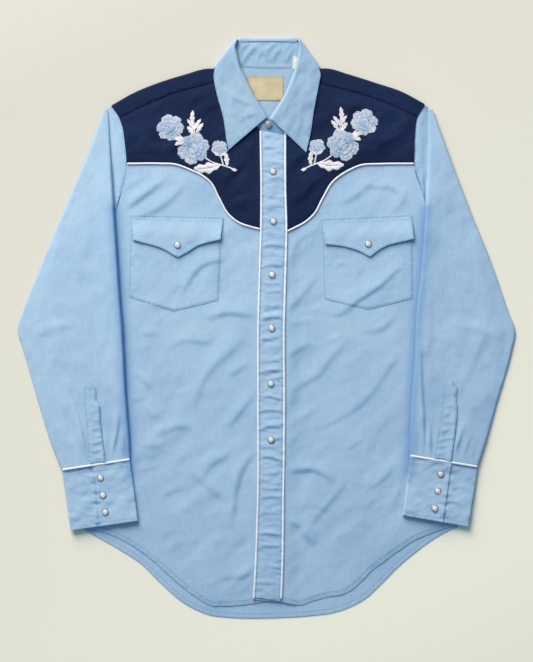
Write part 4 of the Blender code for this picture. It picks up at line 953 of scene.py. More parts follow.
def finish_cloth(name, cloth, size, finish, wall):
    """Join a bmesh's meeting edges and make it a piece."""
    bmesh.ops.remove_doubles(cloth, verts=cloth.verts[:], dist=0.02)
    declare(thicken(add_piece(name + "_cloth", mesh_of(name, cloth), finish, (name,)), wall), name, *size)


ALL_SIDES = ("first_row", "last_row", "first_column", "last_column")


def far_from_edges(rows, sides=ALL_SIDES):
    """Distance of each point to the nearest of the named sides of a sheet, and the place along that
    side, counted from its nearer end."""
    down = np.cumsum(np.concatenate([np.zeros((1, rows.shape[1])),
                                     np.linalg.norm(np.diff(rows, axis=0), axis=2)]), axis=0)
    over = np.cumsum(np.concatenate([np.zeros((rows.shape[0], 1)),
                                     np.linalg.norm(np.diff(rows, axis=1), axis=2)], 1), axis=1)
    choices = {"first_row": (down, over, 1), "last_row": (down[-1:] - down, over, 1),
               "first_column": (over, down, 0), "last_column": (over[:, -1:] - over, down, 0)}
    away = np.full(rows.shape[:2], 1e3)
    place = np.zeros(rows.shape[:2])
    for distance, run, axis in (choices[side] for side in sides):
        closer = distance < away
        away = np.where(closer, distance, away)
        place = np.where(closer, np.minimum(run, run.max(axis, keepdims=True) - run), place)
    return away, place


def loft(name, rows, wall, row, sides=ALL_SIDES):
    """A piece of the collar through rows of points."""
    cloth = new_cloth()
    spread_rows(cloth, rows, *far_from_edges(rows, sides), row)
    finish_cloth(name, cloth, sheet_size(rows), SHADED_BLUE_CLOTH, wall)


def normals_of(rows):
    """Direction square to a sheet at each of its points, upwards."""
    across = np.cross(np.gradient(rows, axis=0), np.gradient(rows, axis=1))
    across /= np.maximum(np.linalg.norm(across, axis=2), 1e-9)[:, :, None]
    return across * np.where(across[:, :, 2:] < 0, -1, 1)


def piping(name, line, z, radius, flat=0.8):
    """White piping along a flat line, wider than it is high and a little uneven, with closed ends."""
    line = np.column_stack([line, z])
    along = directions(line)
    side = np.cross(along, (0, 0, 1))
    side /= np.linalg.norm(side, axis=1)[:, None]
    up = np.cross(side, along)
    run = lengths_along(line)
    swell = radius * (1 + 0.05 * patches(run / 5, run * 0, 91))
    swell[[0, -1]] *= 0.75
    turn = np.linspace(0, 2 * math.pi, 11)
    rows = (line[:, None] + swell[:, None, None]
            * (np.cos(turn)[None, :, None] * side[:, None]
               + flat * np.sin(turn)[None, :, None] * up[:, None]))
    tube = new_cloth()
    uv = np.stack(np.meshgrid(turn * radius * MM, run * MM), 2)
    spread_rows(tube, rows, np.full(rows.shape[:2], 50.0), np.zeros(rows.shape[:2]), uv=uv)
    bmesh.ops.remove_doubles(tube, verts=tube.verts[:], dist=0.01)
    bmesh.ops.holes_fill(tube, edges=[edge for edge in tube.edges if edge.is_boundary])
    add_piece(name + "_cord", mesh_of(name, tube), WHITE, (name,))


# A thread comes to a point at both ends, with three square sections between them.
SECTIONS = np.array([0.0, 0.2, 0.5, 0.8, 1.0])
FULLNESS = np.array([0.85, 1.0, 0.85])
CORNERS = 14             # of each thread


def threads(name, starts, ends, width, bow, finish, shade=0.5):
    """Many short threads as one mesh, each bowed up between its two ends."""
    starts, ends = np.asarray(starts, float), np.asarray(ends, float)
    count = len(starts)
    width, bow = np.broadcast_to(width, count), np.broadcast_to(bow, count)
    along = ends - starts
    side = np.stack([-along[:, 1], along[:, 0], np.zeros(count)], 1)
    side /= np.maximum(np.linalg.norm(side, axis=1), 1e-9)[:, None]
    centre = starts[:, None] + along[:, None] * SECTIONS[None, :, None]
    centre[:, :, 2] += bow[:, None] * np.sin(np.pi * SECTIONS)[None]
    points = np.zeros((count, CORNERS, 3))
    points[:, 0], points[:, -1] = centre[:, 0], centre[:, -1]
    up = np.array([0, 0, 1.0])
    for index, full in enumerate(FULLNESS):
        half = side * (width * full / 2)[:, None]
        rise = up[None] * (width * full * 0.42)[:, None]
        middle = centre[:, index + 1]
        for corner, offset in enumerate((half, rise, -half, -rise)):
            points[:, 1 + index * 4 + corner] = middle + offset
    faces = [(0, 1 + k, 1 + (k + 1) % 4) for k in range(4)]
    faces += [(1 + r * 4 + k, 5 + r * 4 + k, 5 + r * 4 + (k + 1) % 4, 1 + r * 4 + (k + 1) % 4)
              for r in range(2) for k in range(4)]
    faces += [(13, 9 + (k + 1) % 4, 9 + k) for k in range(4)]
    every = [tuple(corner + CORNERS * index for corner in face) for index in range(count) for face in faces]
    mesh = bpy.data.meshes.new(name)
    mesh.from_pydata(points.reshape(-1, 3), [], every)
    note(mesh, "Shade", np.repeat(np.broadcast_to(shade, count), CORNERS))
    add_piece(name, mesh, finish)


class Sewing:
    """Rows of stitches collected for one thread, made into one mesh at the end."""

    def __init__(self):
        self.starts, self.ends = [], []

    def row(self, line, pitch=2.7, length=1.95):
        """Stitches along a line of points on the cloth."""
        line = np.asarray(line, float)
        places = np.arange(0.4, lengths_along(line)[-1] - length, pitch)
        self.starts.append(points_at(places, line))
        self.ends.append(points_at(places + length, line))

    def on(self, line, height, lift=WALL, **options):
        """Stitches along a flat line, laid on a height."""
        line = refine(line, 1.4) if len(line) < 40 else np.asarray(line, float)
        self.row(np.column_stack([line, height(line[:, 0], line[:, 1]) + lift]), **options)

    def sew(self, name, finish, width=0.42):
        """Make the rows one mesh."""
        threads(name, np.concatenate(self.starts), np.concatenate(self.ends), width, 0.16, finish)


# --- finishes ----------------------------------------------------------------------------------

class Value:
    """A shader socket that takes part in sums."""

    def __init__(self, finish, socket):
        self.finish, self.socket = finish, socket

    def _sum(self, operation, *values):
        return self.finish.node("Math", {"operation": operation}, dict(enumerate(values)))

    def __add__(self, other):
        return self._sum("ADD", self, other)

    def __sub__(self, other):
        return self._sum("SUBTRACT", self, other)

    def __mul__(self, other):
        return self._sum("MULTIPLY", self, other)

    def __truediv__(self, other):
        return self._sum("DIVIDE", self, other)

    __radd__, __rmul__ = __add__, __mul__

    def wave(self, length):
        """Sine of the value, one wave to each length."""
        return self._sum("SINE", self * (2 * math.pi / length))

    def bell(self):
        """1 where the value is 0, falling off on both sides."""
        return self._sum("POWER", math.e, self * self * -1.0)


class Finish:
    """A material being made."""

    def __init__(self, name, **constants):
        self.material = bpy.data.materials.new(name)
        self.material.use_nodes = True
        self.tree = self.material.node_tree
        self.shader = self.tree.nodes["Principled BSDF"]
        for socket, value in constants.items():
            self.shader.inputs[socket.replace("_", " ")].default_value = value

    def node(self, kind, settings=None, sockets=None, output=0):
        """Add a node: its settings first, then the values or links of its sockets."""
        made = self.tree.nodes.new("ShaderNode" + kind)
        for name, value in (settings or {}).items():
            if name == "stops":
                stops = made.color_ramp.elements
                for index, (place, tone) in enumerate(value):
                    stop = stops[index] if index < 2 else stops.new(place)
                    stop.position, stop.color = place, tone
            else:
                setattr(made, name, value)
        for key, value in (sockets or {}).items():
            self.join(value, made.inputs[key])
        return Value(self, made.outputs[output])

    def join(self, value, socket):
        """Link a value to a socket, or set it there."""
        if isinstance(value, Value):
            self.tree.links.new(value.socket, socket)
        else:
            socket.default_value = value

    def feed(self, socket, value):
        """Link a value to the shader itself."""
        self.join(value, self.shader.inputs[socket])

    def kept(self, name):
        """A number kept at each point of the piece."""
        return self.node("Attribute", {"attribute_name": name}, output=2)

    def place(self):
        """Where a point of the piece is."""
        return self.node("TexCoord", output=3)

    def grain(self):
        """Where a point is on its flat cloth."""
        return self.node("UVMap", {"uv_map": "Cloth"})

    def across_and_down(self, source):
        """The first two numbers of a place."""
        across = self.node("SeparateXYZ", {}, {0: source})
        return across, Value(self, across.socket.node.outputs[1])

    def stretched(self, source, scale, detail, seed):
        """Random tone, stretched by a scale, or by one for each axis."""
        if isinstance(scale, float):
            scale = (scale,) * 3
        placed = self.node("Mapping", {}, {"Vector": source, "Scale": scale,
                                           "Location": (seed, seed * 0.7, seed * 0.3)})
        return self.node("TexNoise", {},
                         {"Vector": placed, "Scale": 1.0, "Detail": detail, "Roughness": 0.55})

    def mix(self, amount, first, second):
        """Mix two colours."""
        return self.node("Mix", {"data_type": "RGBA"}, {0: amount, 6: first, 7: second}, output=2)

    def bump(self, height, distance, strength, base=None):
        """The way that the surface faces, with a height on it."""
        sockets = {"Height": height, "Distance": distance, "Strength": strength}
        if base is not None:
            sockets["Normal"] = base
        return self.node("Bump", {}, sockets)


def colour(red, green, blue):
    """A screen colour as the shader's own numbers."""
    parts = [value / 255 for value in (red, green, blue)]
    return (*[p / 12.92 if p <= 0.04045 else ((p + 0.055) / 1.055) ** 2.4 for p in parts], 1.0)


# Metres from yarn to yarn in the cloth, from rib to rib in the piping, and both in the label.
YARN, CORD_RIB, LABEL_WARP, LABEL_RIB = 0.00046, 0.0007, 0.00045, 0.0006


def cloth_finish(name, deep, main, pale, painted_shade_tone, sheen):
    """Plain-woven shirting: yarns, slubs, fine crumples, and a groove along each row of stitches. Painted
    shade darkens the groove and a thin line along each cut edge, and turns the colour towards the
    painted shade tone where thicken noted it.
    """
    deep, main, pale, painted_shade_tone = (colour(*tone) for tone in (deep, main, pale, painted_shade_tone))
    finish = Finish(name, Sheen_Weight=sheen, Sheen_Roughness=0.45, Specular_IOR_Level=0.28)
    grain, place = finish.grain(), finish.place()
    across, down = finish.across_and_down(grain)
    weave = across.wave(2 * YARN) * down.wave(2 * YARN)
    warp = finish.stretched(grain, (1500.0, 70.0, 1.0), 2.0, 3.1)
    weft = finish.stretched(grain, (70.0, 1500.0, 1.0), 2.0, 7.7)
    slub = finish.stretched(grain, (700.0, 40.0, 1.0), 1.0, 1.3)
    cloud = finish.stretched(place, 16.0, 3.0, 5.2)
    small = finish.stretched(place, (120.0, 95.0, 120.0), 3.0, 8.4)
    edge, row = finish.kept("Edge"), finish.kept("Row")
    groove = ((edge - row) / 0.55).bell()
    rim = (edge / 1.1).bell()
    tone = (warp + weft - 1.0) * 0.34 + (slub - 0.5) * 0.2 + weave * 0.04 + (cloud - 0.5) * 0.4
    # Painted shade: darker in the groove along each row of stitches and in a thin line along each cut edge.
    tone = tone - groove * 0.15 - rim * 0.36 + 0.5
    shade = finish.node("ValToRGB", {"stops": ((0.0, deep), (1.0, pale), (0.5, main))}, {0: tone})
    # Painted shade: the colour turns towards the painted shade tone by the Deep attribute.
    finish.feed("Base Color", finish.mix(finish.kept("Deep"), shade, painted_shade_tone))
    finish.feed("Roughness", (slub - 0.5) * 0.12 + 0.82 + groove * 0.05)
    strip = finish.node("CombineXYZ", {}, {0: finish.kept("Along") * 0.21, 1: edge * 0.09})
    drawn = finish.node("TexNoise", {}, {"Vector": strip, "Scale": 1.0, "Detail": 2.0})
    pucker = (drawn - 0.5) * (edge / 8.0).bell()
    coarse = finish.bump((small - 0.5) * 0.55 + pucker * 1.5 - groove * 0.3 - rim * 0.1, 0.0006, 0.8)
    finish.feed("Normal", finish.bump(weave * 0.5 + (warp + weft) * 0.8, 0.00006, 0.7, coarse))
    return finish.material


def cord_finish():
    """White satin piping: fine diagonal ribs and a soft gloss."""
    finish = Finish("white_cord", Sheen_Weight=0.2, Specular_IOR_Level=0.5)
    grain = finish.grain()
    around, along = finish.across_and_down(grain)
    rib = (around + along).wave(CORD_RIB)
    wear = finish.stretched(grain, (200.0, 90.0, 1.0), 3.0, 2.2)
    tone = wear * 0.8 + rib * 0.12
    finish.feed("Base Color", finish.mix(tone, colour(236, 238, 245), colour(255, 255, 255)))
    finish.feed("Roughness", wear * 0.2 + 0.38)
    finish.feed("Normal", finish.bump(rib + wear, 0.00012, 0.6))
    return finish.material


def thread_finish(name, low, high):
    """Sewing and embroidery thread: a tone for each thread, and a fine twist."""
    finish = Finish(name, Sheen_Weight=0.15, Specular_IOR_Level=0.45)
    fleck = finish.stretched(finish.place(), 2600.0, 1.0, 4.4)
    tone = finish.kept("Shade") + (fleck - 0.5) * 0.35
    finish.feed("Base Color", finish.mix(tone, colour(*low), colour(*high)))
    finish.feed("Roughness", (fleck - 0.5) * 0.2 + 0.45)
    finish.feed("Normal", finish.bump(fleck, 0.00008, 0.6))
    return finish.material


def label_finish():
    """Woven ribbon: fine cross ribs, a little yellowed."""
    finish = Finish("cream_label", Sheen_Weight=0.2, Specular_IOR_Level=0.4)
    place = finish.place()
    across, down = finish.across_and_down(place)
    rib, warp = down.wave(LABEL_RIB), across.wave(LABEL_WARP)
    wear = finish.stretched(place, 70.0, 4.0, 6.1)
    edge = (finish.kept("Edge") / 1.6).bell()
    tone = (wear - 0.5) * 1.3 + rib * 0.06 + warp * 0.04 - edge * 0.35 + 0.55
    finish.feed("Base Color", finish.mix(tone, colour(184, 170, 138), colour(216, 205, 174)))
    finish.feed("Roughness", wear * 0.2 + 0.5)
    finish.feed("Normal", finish.bump(rib + warp * 0.5, 0.0001, 0.6))
    return finish.material


def pearl_finish():
    """Mother-of-pearl cap: milky, with soft clouds and a clear gloss."""
    finish = Finish("pearl_snap", Coat_Weight=0.7, Coat_Roughness=0.08, Specular_IOR_Level=0.6,
                    Subsurface_Weight=0.05)
    place = finish.place()
    cloud = finish.stretched(place, 330.0, 3.0, 9.3)
    swirl = finish.stretched(place, (900.0, 250.0, 500.0), 2.0, 2.9)
    tone = finish.mix(cloud, colour(208, 206, 200), colour(248, 248, 245))
    finish.feed("Base Color", finish.mix(swirl * 0.35, tone, colour(196, 202, 208)))
    finish.feed("Roughness", swirl * 0.2 + 0.16)
    finish.feed("Normal", finish.bump(cloud, 0.00012, 0.35))
    return finish.material


def metal_finish(name, low, high, metallic):
    """Nickel-plated metal with fine turning marks and slight tarnish."""
    finish = Finish(name, Specular_IOR_Level=0.5)
    tarnish = finish.stretched(finish.place(), 500.0, 4.0, 1.9)
    finish.feed("Base Color", finish.mix(tarnish, colour(*low), colour(*high)))
    finish.feed("Metallic", tarnish * 0.1 + metallic)
    finish.feed("Roughness", tarnish * 0.25 + 0.22)
    finish.feed("Normal", finish.bump(tarnish, 0.00005, 0.4))
    return finish.material


# Cloths: deep, main and pale tone, the painted shade tone for a crease's side away from the lamp and beside the
# sleeves' folds, and the sheen.
BLUE = cloth_finish("light_blue_cloth",
                    (136, 170, 206), (167, 195, 221), (194, 215, 233), (86, 140, 196), 0.08)
# A darker copy of the blue cloth: painted shade for the raised collar and for the lining inside the neck.
SHADED_BLUE_CLOTH = cloth_finish("collar_cloth",
                      (125, 158, 194), (156, 184, 209), (184, 205, 223), (84, 134, 188), 0.08)
NAVY = cloth_finish("navy_cloth", (9, 23, 52), (22, 41, 77), (46, 70, 116), (8, 22, 54), 0.05)
WHITE_TAPE = cloth_finish("white_tape",
                          (205, 204, 198), (226, 225, 220), (240, 240, 236), (186, 194, 204), 0.1)
WHITE = cord_finish()
CREAM = label_finish()
PEARL = pearl_finish()
NICKEL = metal_finish("snap_metal", (112, 112, 110), (190, 190, 187), 0.7)
# A greyer cap and ring: painted shade for the stand's snap, which lies in shade under the leaf.
SHADED_SNAP = metal_finish("dark_snap", (150, 154, 156), (196, 198, 197), 0.15)
BLUE_THREAD = thread_finish("blue_thread", (142, 178, 212), (190, 215, 237))
NAVY_THREAD = thread_finish("navy_thread", (16, 26, 54), (46, 62, 104))
LABEL_THREAD = thread_finish("label_thread", (170, 156, 118), (214, 204, 170))
FLOWER_THREAD = thread_finish("flower_thread", (120, 169, 209), (246, 241, 240))

blue_sewing, navy_sewing, label_sewing = Sewing(), Sewing(), Sewing()
# How far inside an edge each row of stitches runs.
HEM_ROW, YOKE_ROW, PLACKET_ROW, POCKET_ROW, FLAP_ROW = 6.0, 1.8, 1.9, 1.7, 1.6
SEAM_ROW, STRIP_ROW, CUFF_ROW, STAND_ROW, LEAF_ROW, LABEL_ROW = 1.6, 1.7, 4.6, 1.7, 1.9, 1.3
YOKE_CORD, PLACKET_CORD, CUFF_CORD = 1.4, 1.5, 1.6   # radius of the piping
BACK_SEAM, LINING_SEAM = 199.6, 200.0                # Y where the back and the back yoke end
BEYOND_PIPING = (-1.7, 1.3)                          # from the placket's piping to each yoke


# --- the body ----------------------------------------------------------------------------------

def back_under(x, y):
    """The back rests on the ground and lifts only a little where creases cross it."""
    away, _, _, _ = near(x, y, refine(BACK_HEM, 12))
    calm = ease(away / 25) * ease((250 - np.abs(x)) / 30) * ease((190 - y) / 40)
    return calm * np.clip(0.35 * creased(x, y + 20, BODY_CREASES) + 0.25 * crumple(x, y, 19) + 0.1, 0, 0.75)


def make_back():
    """The light blue back, below the yoke."""
    left, right = [line[line[:, 1] < BACK_SEAM - 1] for line in (refine(line, 3) for line in ARMHOLE_BODY)]
    edge = outline([(-203.6, BACK_SEAM)], left, refine(SIDE_SEAM[LEFT], 12), refine(BACK_HEM, 4),
                   refine(SIDE_SEAM[RIGHT], 12)[::-1], right[::-1], [(219.0, BACK_SEAM)])
    lay("back", edge, back_under, BLUE, 4.0, sewn=refine(BACK_HEM, 6), row=HEM_ROW)
    blue_sewing.on(shifted(refine(BACK_HEM, 3), HEM_ROW)[3:-3], back_under)


def shoulder_line(count):
    """Where the yoke turns over the left shoulder, the neck, and where it turns over the right one."""
    left, right = resample(SHOULDER[LEFT], count), resample(SHOULDER[RIGHT], count)[::-1]
    return left - (0, SHOULDER_ROUND), refine(NECK_BACK, 3.0), right - (0, SHOULDER_ROUND)


def make_back_yoke():
    """The navy yoke runs from the back, over the shoulders, to its seams in front."""
    count = 54
    left, neck, right = shoulder_line(count)
    top = np.concatenate([left, neck, right])
    first, last = top[0], top[-1]
    shares = np.linspace(0, 1, 44)[:, None]
    height = LINING_SEAM + (top[:, 1][None] - LINING_SEAM) * shares
    ends = []
    for side, end in ((LEFT, first), (RIGHT, last)):
        line = np.concatenate([refine(ARMHOLE_YOKE[side], 3), refine(ARMHOLE_BODY[side], 3)])
        line = line[np.argsort(line[:, 1])]
        ends.append(np.interp(LINING_SEAM + (end[1] - LINING_SEAM) * shares, line[:, 1], line[:, 0]))
    across = ((top[:, 0] - first[0]) / (last[0] - first[0]))[None]
    even = ends[LEFT] * (1 - across) + ends[RIGHT] * across
    place = even * (1 - ease(shares)) + top[:, 0][None] * ease(shares)
    plate = np.stack([place, height, np.full(place.shape, WALL)], 2)
    cloth = new_cloth()
    spread_rows(cloth, plate, *far_from_edges(plate, ("first_row",)), under=True)
    size = np.array(sheet_size(plate))
    low, high = WALL, 3 * LAYER
    for side, line in ((LEFT, left), (RIGHT, right)):
        seam = resample(SHOULDER_SEAM[side], count)
        seam = seam if side == LEFT else seam[::-1]
        rows = [np.column_stack([line, np.full(count, low)])]
        for turn in np.linspace(0, 1, 9)[1:-1]:
            out = 1.9 * math.sin(math.pi * turn)
            rise = low + (high - low) * (0.5 - 0.5 * math.cos(math.pi * turn))
            rows.append(np.column_stack([line[:, 0], line[:, 1] + out, np.full(count, rise)]))
        for share in np.linspace(0, 1, 12):
            spot = line * (1 - share) + seam * share
            gap = (1 - share) * np.linalg.norm(seam - line, axis=1)
            z = high + 0.18 * puckers(gap, spot[:, 0], 101 + side, 8, 9)
            z = z + 0.25 * patches(spot[:, 0] / 26, spot[:, 1] / 12, 103) * ease(gap / 5) * ease(share * 3)
            rows.append(np.column_stack([spot, z]))
        rows = np.array(rows)
        spread_rows(cloth, rows, *far_from_edges(rows, ("last_row",)), SEAM_ROW)
        size += (0, 10, sheet_size(rows)[2])
        stitch = rows[-2].copy()
        stitch[:, :2] = rows[-1][:, :2] + (rows[-3][:, :2] - rows[-1][:, :2]) * 0.35
        stitch[:, 2] += WALL
        navy_sewing.row(stitch)
    finish_cloth("back_yoke", cloth, size, NAVY, WALL)


def make_lining():
    """The yoke's lining, seen inside the neck; returns its height."""
    left, neck, right = shoulder_line(40)
    lined = np.concatenate([left * (0.988, 1) - (0, 2), neck * (0.985, 1) - (0, 0.2),
                            right * (0.988, 1) - (0, 2)])
    holes = (((-204, 289), (-199, 262), (-195.8, 234), (-201.5, 201)),
             ((217, 201), (208.8, 236), (209, 262), (211.8, 290)))
    edge = outline(lined[::-1], refine(holes[LEFT], 6), refine(holes[RIGHT], 6))

    def under(x, y):
        return LAYER + 0.18 * crumple(x * 1.4, y * 1.4, 23) * ease((367 - y) / 8)

    # The lining takes the darker copy of the blue cloth, as painted shade.
    lay("yoke_lining", edge, under, SHADED_BLUE_CLOTH, 4.0)
    return under


def front_outline(side):
    """Edge of a front, from the neck round to the end of its hem."""
    seam = resample(SHOULDER_SEAM[side], 40)[:-4]
    tucked = (seam + (0, TUCK))[::-1]
    armhole = np.concatenate([refine(ARMHOLE_YOKE[side], 3)[8:], refine(ARMHOLE_BODY[side], 3)[1:]])
    return [refine(NECK_FRONT[side], 3)[:-3], tucked, armhole, refine(SIDE_SEAM[side], 12)[1:],
            refine(FRONT_HEM[side], 4)[1:]]


def make_fronts():
    """The two fronts; the right one laps over the left one as far as the placket's left piping."""
    centre = np.array([(row[1] - 1.6, row[0]) for row in PLACKET_LINES])
    inner_edges = ([straight([(24, -386), (23.5, -100), (24, 279)], 8)],
                   [[(centre[-1][0], -385.5)], straight(centre[::-1], 8), [(centre[0][0], 280)]])
    for side, word in enumerate(SIDES):
        def under(x, y, side=side):
            return front_under(x, y, side)

        edge = outline(*front_outline(side), *inner_edges[side])
        lay("front_" + word, edge, under, BLUE, sewn=LOWER_EDGE, row=HEM_ROW)
        inner = shifted(refine(FRONT_HEM[side], 3), -OUTWARD[side] * HEM_ROW)
        blue_sewing.on(inner[4:(-14, -3)[side]], under)


def make_yokes():
    """The navy yokes in front, with white piping along their curved lower edges."""
    for side, word in enumerate(SIDES):
        seam = resample(SHOULDER_SEAM[side], 50) + (0, 1.6)
        armhole = refine(ARMHOLE_YOKE[side], 3)
        armhole = armhole[armhole[:, 1] < seam[0][1] - 2]
        lower = refine(YOKE_EDGE[side], 3)
        heights = np.linspace(lower[-1][1], (282.5, 275.5)[side], 19)
        inner = np.stack([placket_line(heights, side) + BEYOND_PIPING[side], heights], 1)
        lower = np.concatenate([lower, inner[:1]])
        turn = refine(NECK_FRONT[side], 3)
        turn = turn[(np.abs(turn[:, 0]) > abs(inner[-1][0])) & (turn[:, 1] < seam[-1][1] - 1)]
        edge = outline(seam[::-1], armhole[:-1], lower, inner, turn)

        def under(x, y, side=side):
            return yoke_under(x, y, side)

        lay("yoke_front_" + word, edge, under, NAVY, 2.5, sewn=lower, row=YOKE_ROW)
        line = refine(shifted(lower, OUTWARD[side]), 2.0)
        piping("yoke_piping_" + word, line, front_under(*line.T, side) + WALL + 1.15, YOKE_CORD)
        navy_sewing.on(shifted(lower, -OUTWARD[side] * YOKE_ROW), under)


def make_placket():
    """The placket down the front, piped on both sides."""
    rows = refine(PLACKET_LINES, 3.0)
    left = np.stack([rows[:, 1] + 1.0, rows[:, 0]], 1)
    right = np.stack([rows[:, 2] - 1.0, rows[:, 0]], 1)
    top = [(left[0][0], PLACKET_TOP[0]), (right[0][0], PLACKET_TOP[1])]
    foot = [(left[-1][0], PLACKET_FOOT[0]), (right[-1][0], PLACKET_FOOT[1])]
    edge = outline(top[:1], left[1:-1], foot, right[1:-1][::-1], top[1:])
    both = np.concatenate([left[::-1], [(left[0][0], 600), (right[0][0], 600)], right])
    lay("placket", edge, placket_under, BLUE, 1.7, sewn=both, row=PLACKET_ROW)
    for side, word in enumerate(SIDES):
        line = refine([(PLACKET_LINES[0][1 + side], PLACKET_TOP[side] - 1)]
                      + [(row[1 + side], row[0]) for row in PLACKET_LINES], 2.0)
        beside, y = line[:, 0] - 2.0 * OUTWARD[side], line[:, 1]
        body = front_under(np.minimum(beside, 29), y, RIGHT) + LAYER
        z = placket_under(beside, y) * 0.6 + 0.4 * body + 0.75
        piping("placket_piping_" + word, line, z, PLACKET_CORD)
    blue_sewing.on(left[2:-2] + (PLACKET_ROW, 0), placket_under)
    blue_sewing.on(right[2:-2] - (PLACKET_ROW, 0), placket_under)


def make_pockets():
    """The patch pockets and their pointed flaps."""
    for side, word in enumerate(SIDES):
        def pocket(x, y, side=side):
            return pocket_under(x, y, side)

        def flap(x, y, side=side):
            return flap_under(x, y, side)

        edge = outline(round_trip(POCKET[side], 3))
        sewn = np.concatenate([straight(POCKET[side][1:], 4), [POCKET[side][0]]])
        lay("pocket_" + word, edge, pocket, BLUE, 2.2, THIN, sewn, POCKET_ROW)
        blue_sewing.on(straight(inset(POCKET[side][1:] + POCKET[side][:1], POCKET_ROW), 1.5), pocket, THIN)
        lower = FLAP_EDGE[side]
        tip = lower.index(min(lower, key=lambda p: p[1]))
        edge = outline(straight(FLAP_TOP[side], 3), refine(lower[:tip + 1], 3), refine(lower[tip:], 3))
        lay("flap_" + word, edge, flap, BLUE, 1.4, row=FLAP_ROW)
        around = np.concatenate([refine(lower[:tip + 1], 2.0)[:-1], refine(lower[tip:], 2.0)])
        around = around[::-1] if side == RIGHT else around
        blue_sewing.on(inset(around, FLAP_ROW), flap)
        (left, left_y), (right, right_y) = FLAP_TOP[side]
        for down in (1.4, 5.6):
            blue_sewing.on(straight([(left + 1.5, left_y - down), (right - 1.5, right_y - down)], 1.5), flap)


def round_trip(corners, step):
    """Points along straight sides, back to the first corner."""
    return straight(corners + corners[:1], step)


def inset(points, distance):
    """A line of points moved in, towards the middle of its piece."""
    line = np.asarray(points, float)
    middle = line.mean(0)
    moved = shifted(line, distance)
    if np.linalg.norm(moved - middle, axis=1).mean() > np.linalg.norm(line - middle, axis=1).mean():
        moved = shifted(line, -distance)
    return moved


# --- sleeves and cuffs -------------------------------------------------------------------------

def make_sleeves():
    """The flat sleeves: rings from the armhole to the cuff, and a head up to the armhole's seam."""
    for side, word in enumerate(SIDES):
        outward = OUTWARD[side]
        top = SLEEVE_RINGS[side][0][0] + 1.5
        foot = CUFF_PIPING[side][0][1] + 0.3
        heights = np.concatenate([np.linspace(top, top - 12, 8)[:-1], np.linspace(top - 12, foot, 166)])
        near_edge = np.array([0.0, 0.25, 0.8, 1.7, 3.0, 4.6])
        rings = []
        for y in heights:
            drop = SLEEVE_TILT * float(ease((-60 - y) / 125))
            inner = float(sleeve_span(y, side)[0])
            outer = float(sleeve_span(y - drop, side)[1])
            width = abs(outer - inner)
            edges = near_edge * min(1.0, width / 14)
            middle = np.linspace(edges[-1], width - edges[-1], 56)[1:-1]
            distances = np.concatenate([edges, middle, width - edges[::-1]])
            x = inner + outward * distances
            share = distances / width
            place = y - drop * share
            base = sleeve_base(x, place, side)
            air = sleeve_air(x, place, side) * ease((width - 2) / 26) + 0.3
            swell = swell_inside(np.minimum(distances, width - distances))
            flat = np.minimum(air, 2.4)
            bottom = base + WALL + 0.5 * flat * (1 - swell)
            upper = base + WALL + air * 0.5 * (1 + swell) + 0.5 * (flat - air) * (1 - swell)
            lower = np.stack([x, place, bottom], 1)
            over = np.stack([x, place, upper], 1)
            rings.append(np.concatenate([over, lower[::-1][1:]]))
        rings = np.array(rings)
        cloth = new_cloth()
        spread_rows(cloth, rings, *far_from_edges(rings, ("last_row",)))
        size = sheet_size(rings)
        head = []
        for y, seam_x, fold_x, end_y, end_x in SLEEVE_HEAD[side]:
            body = float(front_under(np.array([seam_x]), np.array([y]), LEFT)[0])
            start = np.array([seam_x - outward * 0.6, y, body + 0.5])
            fold = np.array([fold_x, (y + end_y) / 2, LAYER + 0.3])
            middle = (start + fold) / 2
            middle[2] = start[2] * 0.75 + fold[2] * 0.25
            head.append([start, middle, fold, (end_x, end_y, 2 * LAYER + 0.1)])
        head = refine(refine(head, 2.5, 0), 1.5, 1)
        x, y = head[:, :, 0], head[:, :, 1]
        inside = ease(np.linspace(0, 6, head.shape[1]))[None]
        head[:, :, 2] += 0.45 * patches(x / 9, y / 17, 121 + side) * inside
        away, run = far_from_edges(head, ("first_column",))
        head[:, :, 2] += 0.2 * puckers(away, run, 123 + side, 6, 5)
        spread_rows(cloth, head, away, run, SEAM_ROW)
        blue_sewing.row(head[4:-4, 1] + (0, 0, WALL))
        finish_cloth("sleeve_" + word, cloth, (size[0] + 10, size[1] + 10, size[2] + sheet_size(head)[2]),
                     BLUE, WALL)
        make_sleeve_placket(side, word)
        make_cuff(side, word)


def make_sleeve_placket(side, word):
    """The narrow strip above a cuff; its right edge is free."""
    edge = outline(round_trip(SLEEVE_PLACKET[side], 3))
    free = np.array(SLEEVE_PLACKET[side][1:6] if side == RIGHT else SLEEVE_PLACKET[side][6:11], float)

    def under(x, y):
        away, _, _, _ = near(x, y, free)
        around, place, _, _ = near(x, y, edge + edge[:1])
        lift = 0.7 * np.exp(-(away / 6) ** 2) * ease((-100 - y) / 14)
        drawn = creased(x, y, SLEEVE_PUCKERS[side], 0.8) * ease(around / 3)
        return (sleeve_top(x, y, side) + 0.15 + lift + 0.45 * ease(around / 2.5) + drawn
                + 0.2 * puckers(around, place, 131 + side, 6, 5)
                + 0.2 * (1 + patches(x / 14, y / 5.5, 133 + side)))

    lay("sleeve_placket_" + word, edge, under, BLUE, 1.7, row=STRIP_ROW)
    blue_sewing.on(inset(round_trip(SLEEVE_PLACKET[side], 1.5), STRIP_ROW)[2:-2], under)


def cuff_lift(y, side):
    """How far a cuff's upper side stands up towards the wrist."""
    return 1.9 * ease((CUFF_TOP[side][0][1] - 30 - y) / 60)


def cuff_point(side, share, down):
    """A place on a cuff: its share of the width from the inner edge, and its share of the depth."""
    inner = blend(CUFF_TOP[side][0], CUFF_WRIST[side][0], down)
    outer = blend(CUFF_TOP[side][1], CUFF_WRIST[side][1], down)
    return inner + (outer - inner) * share


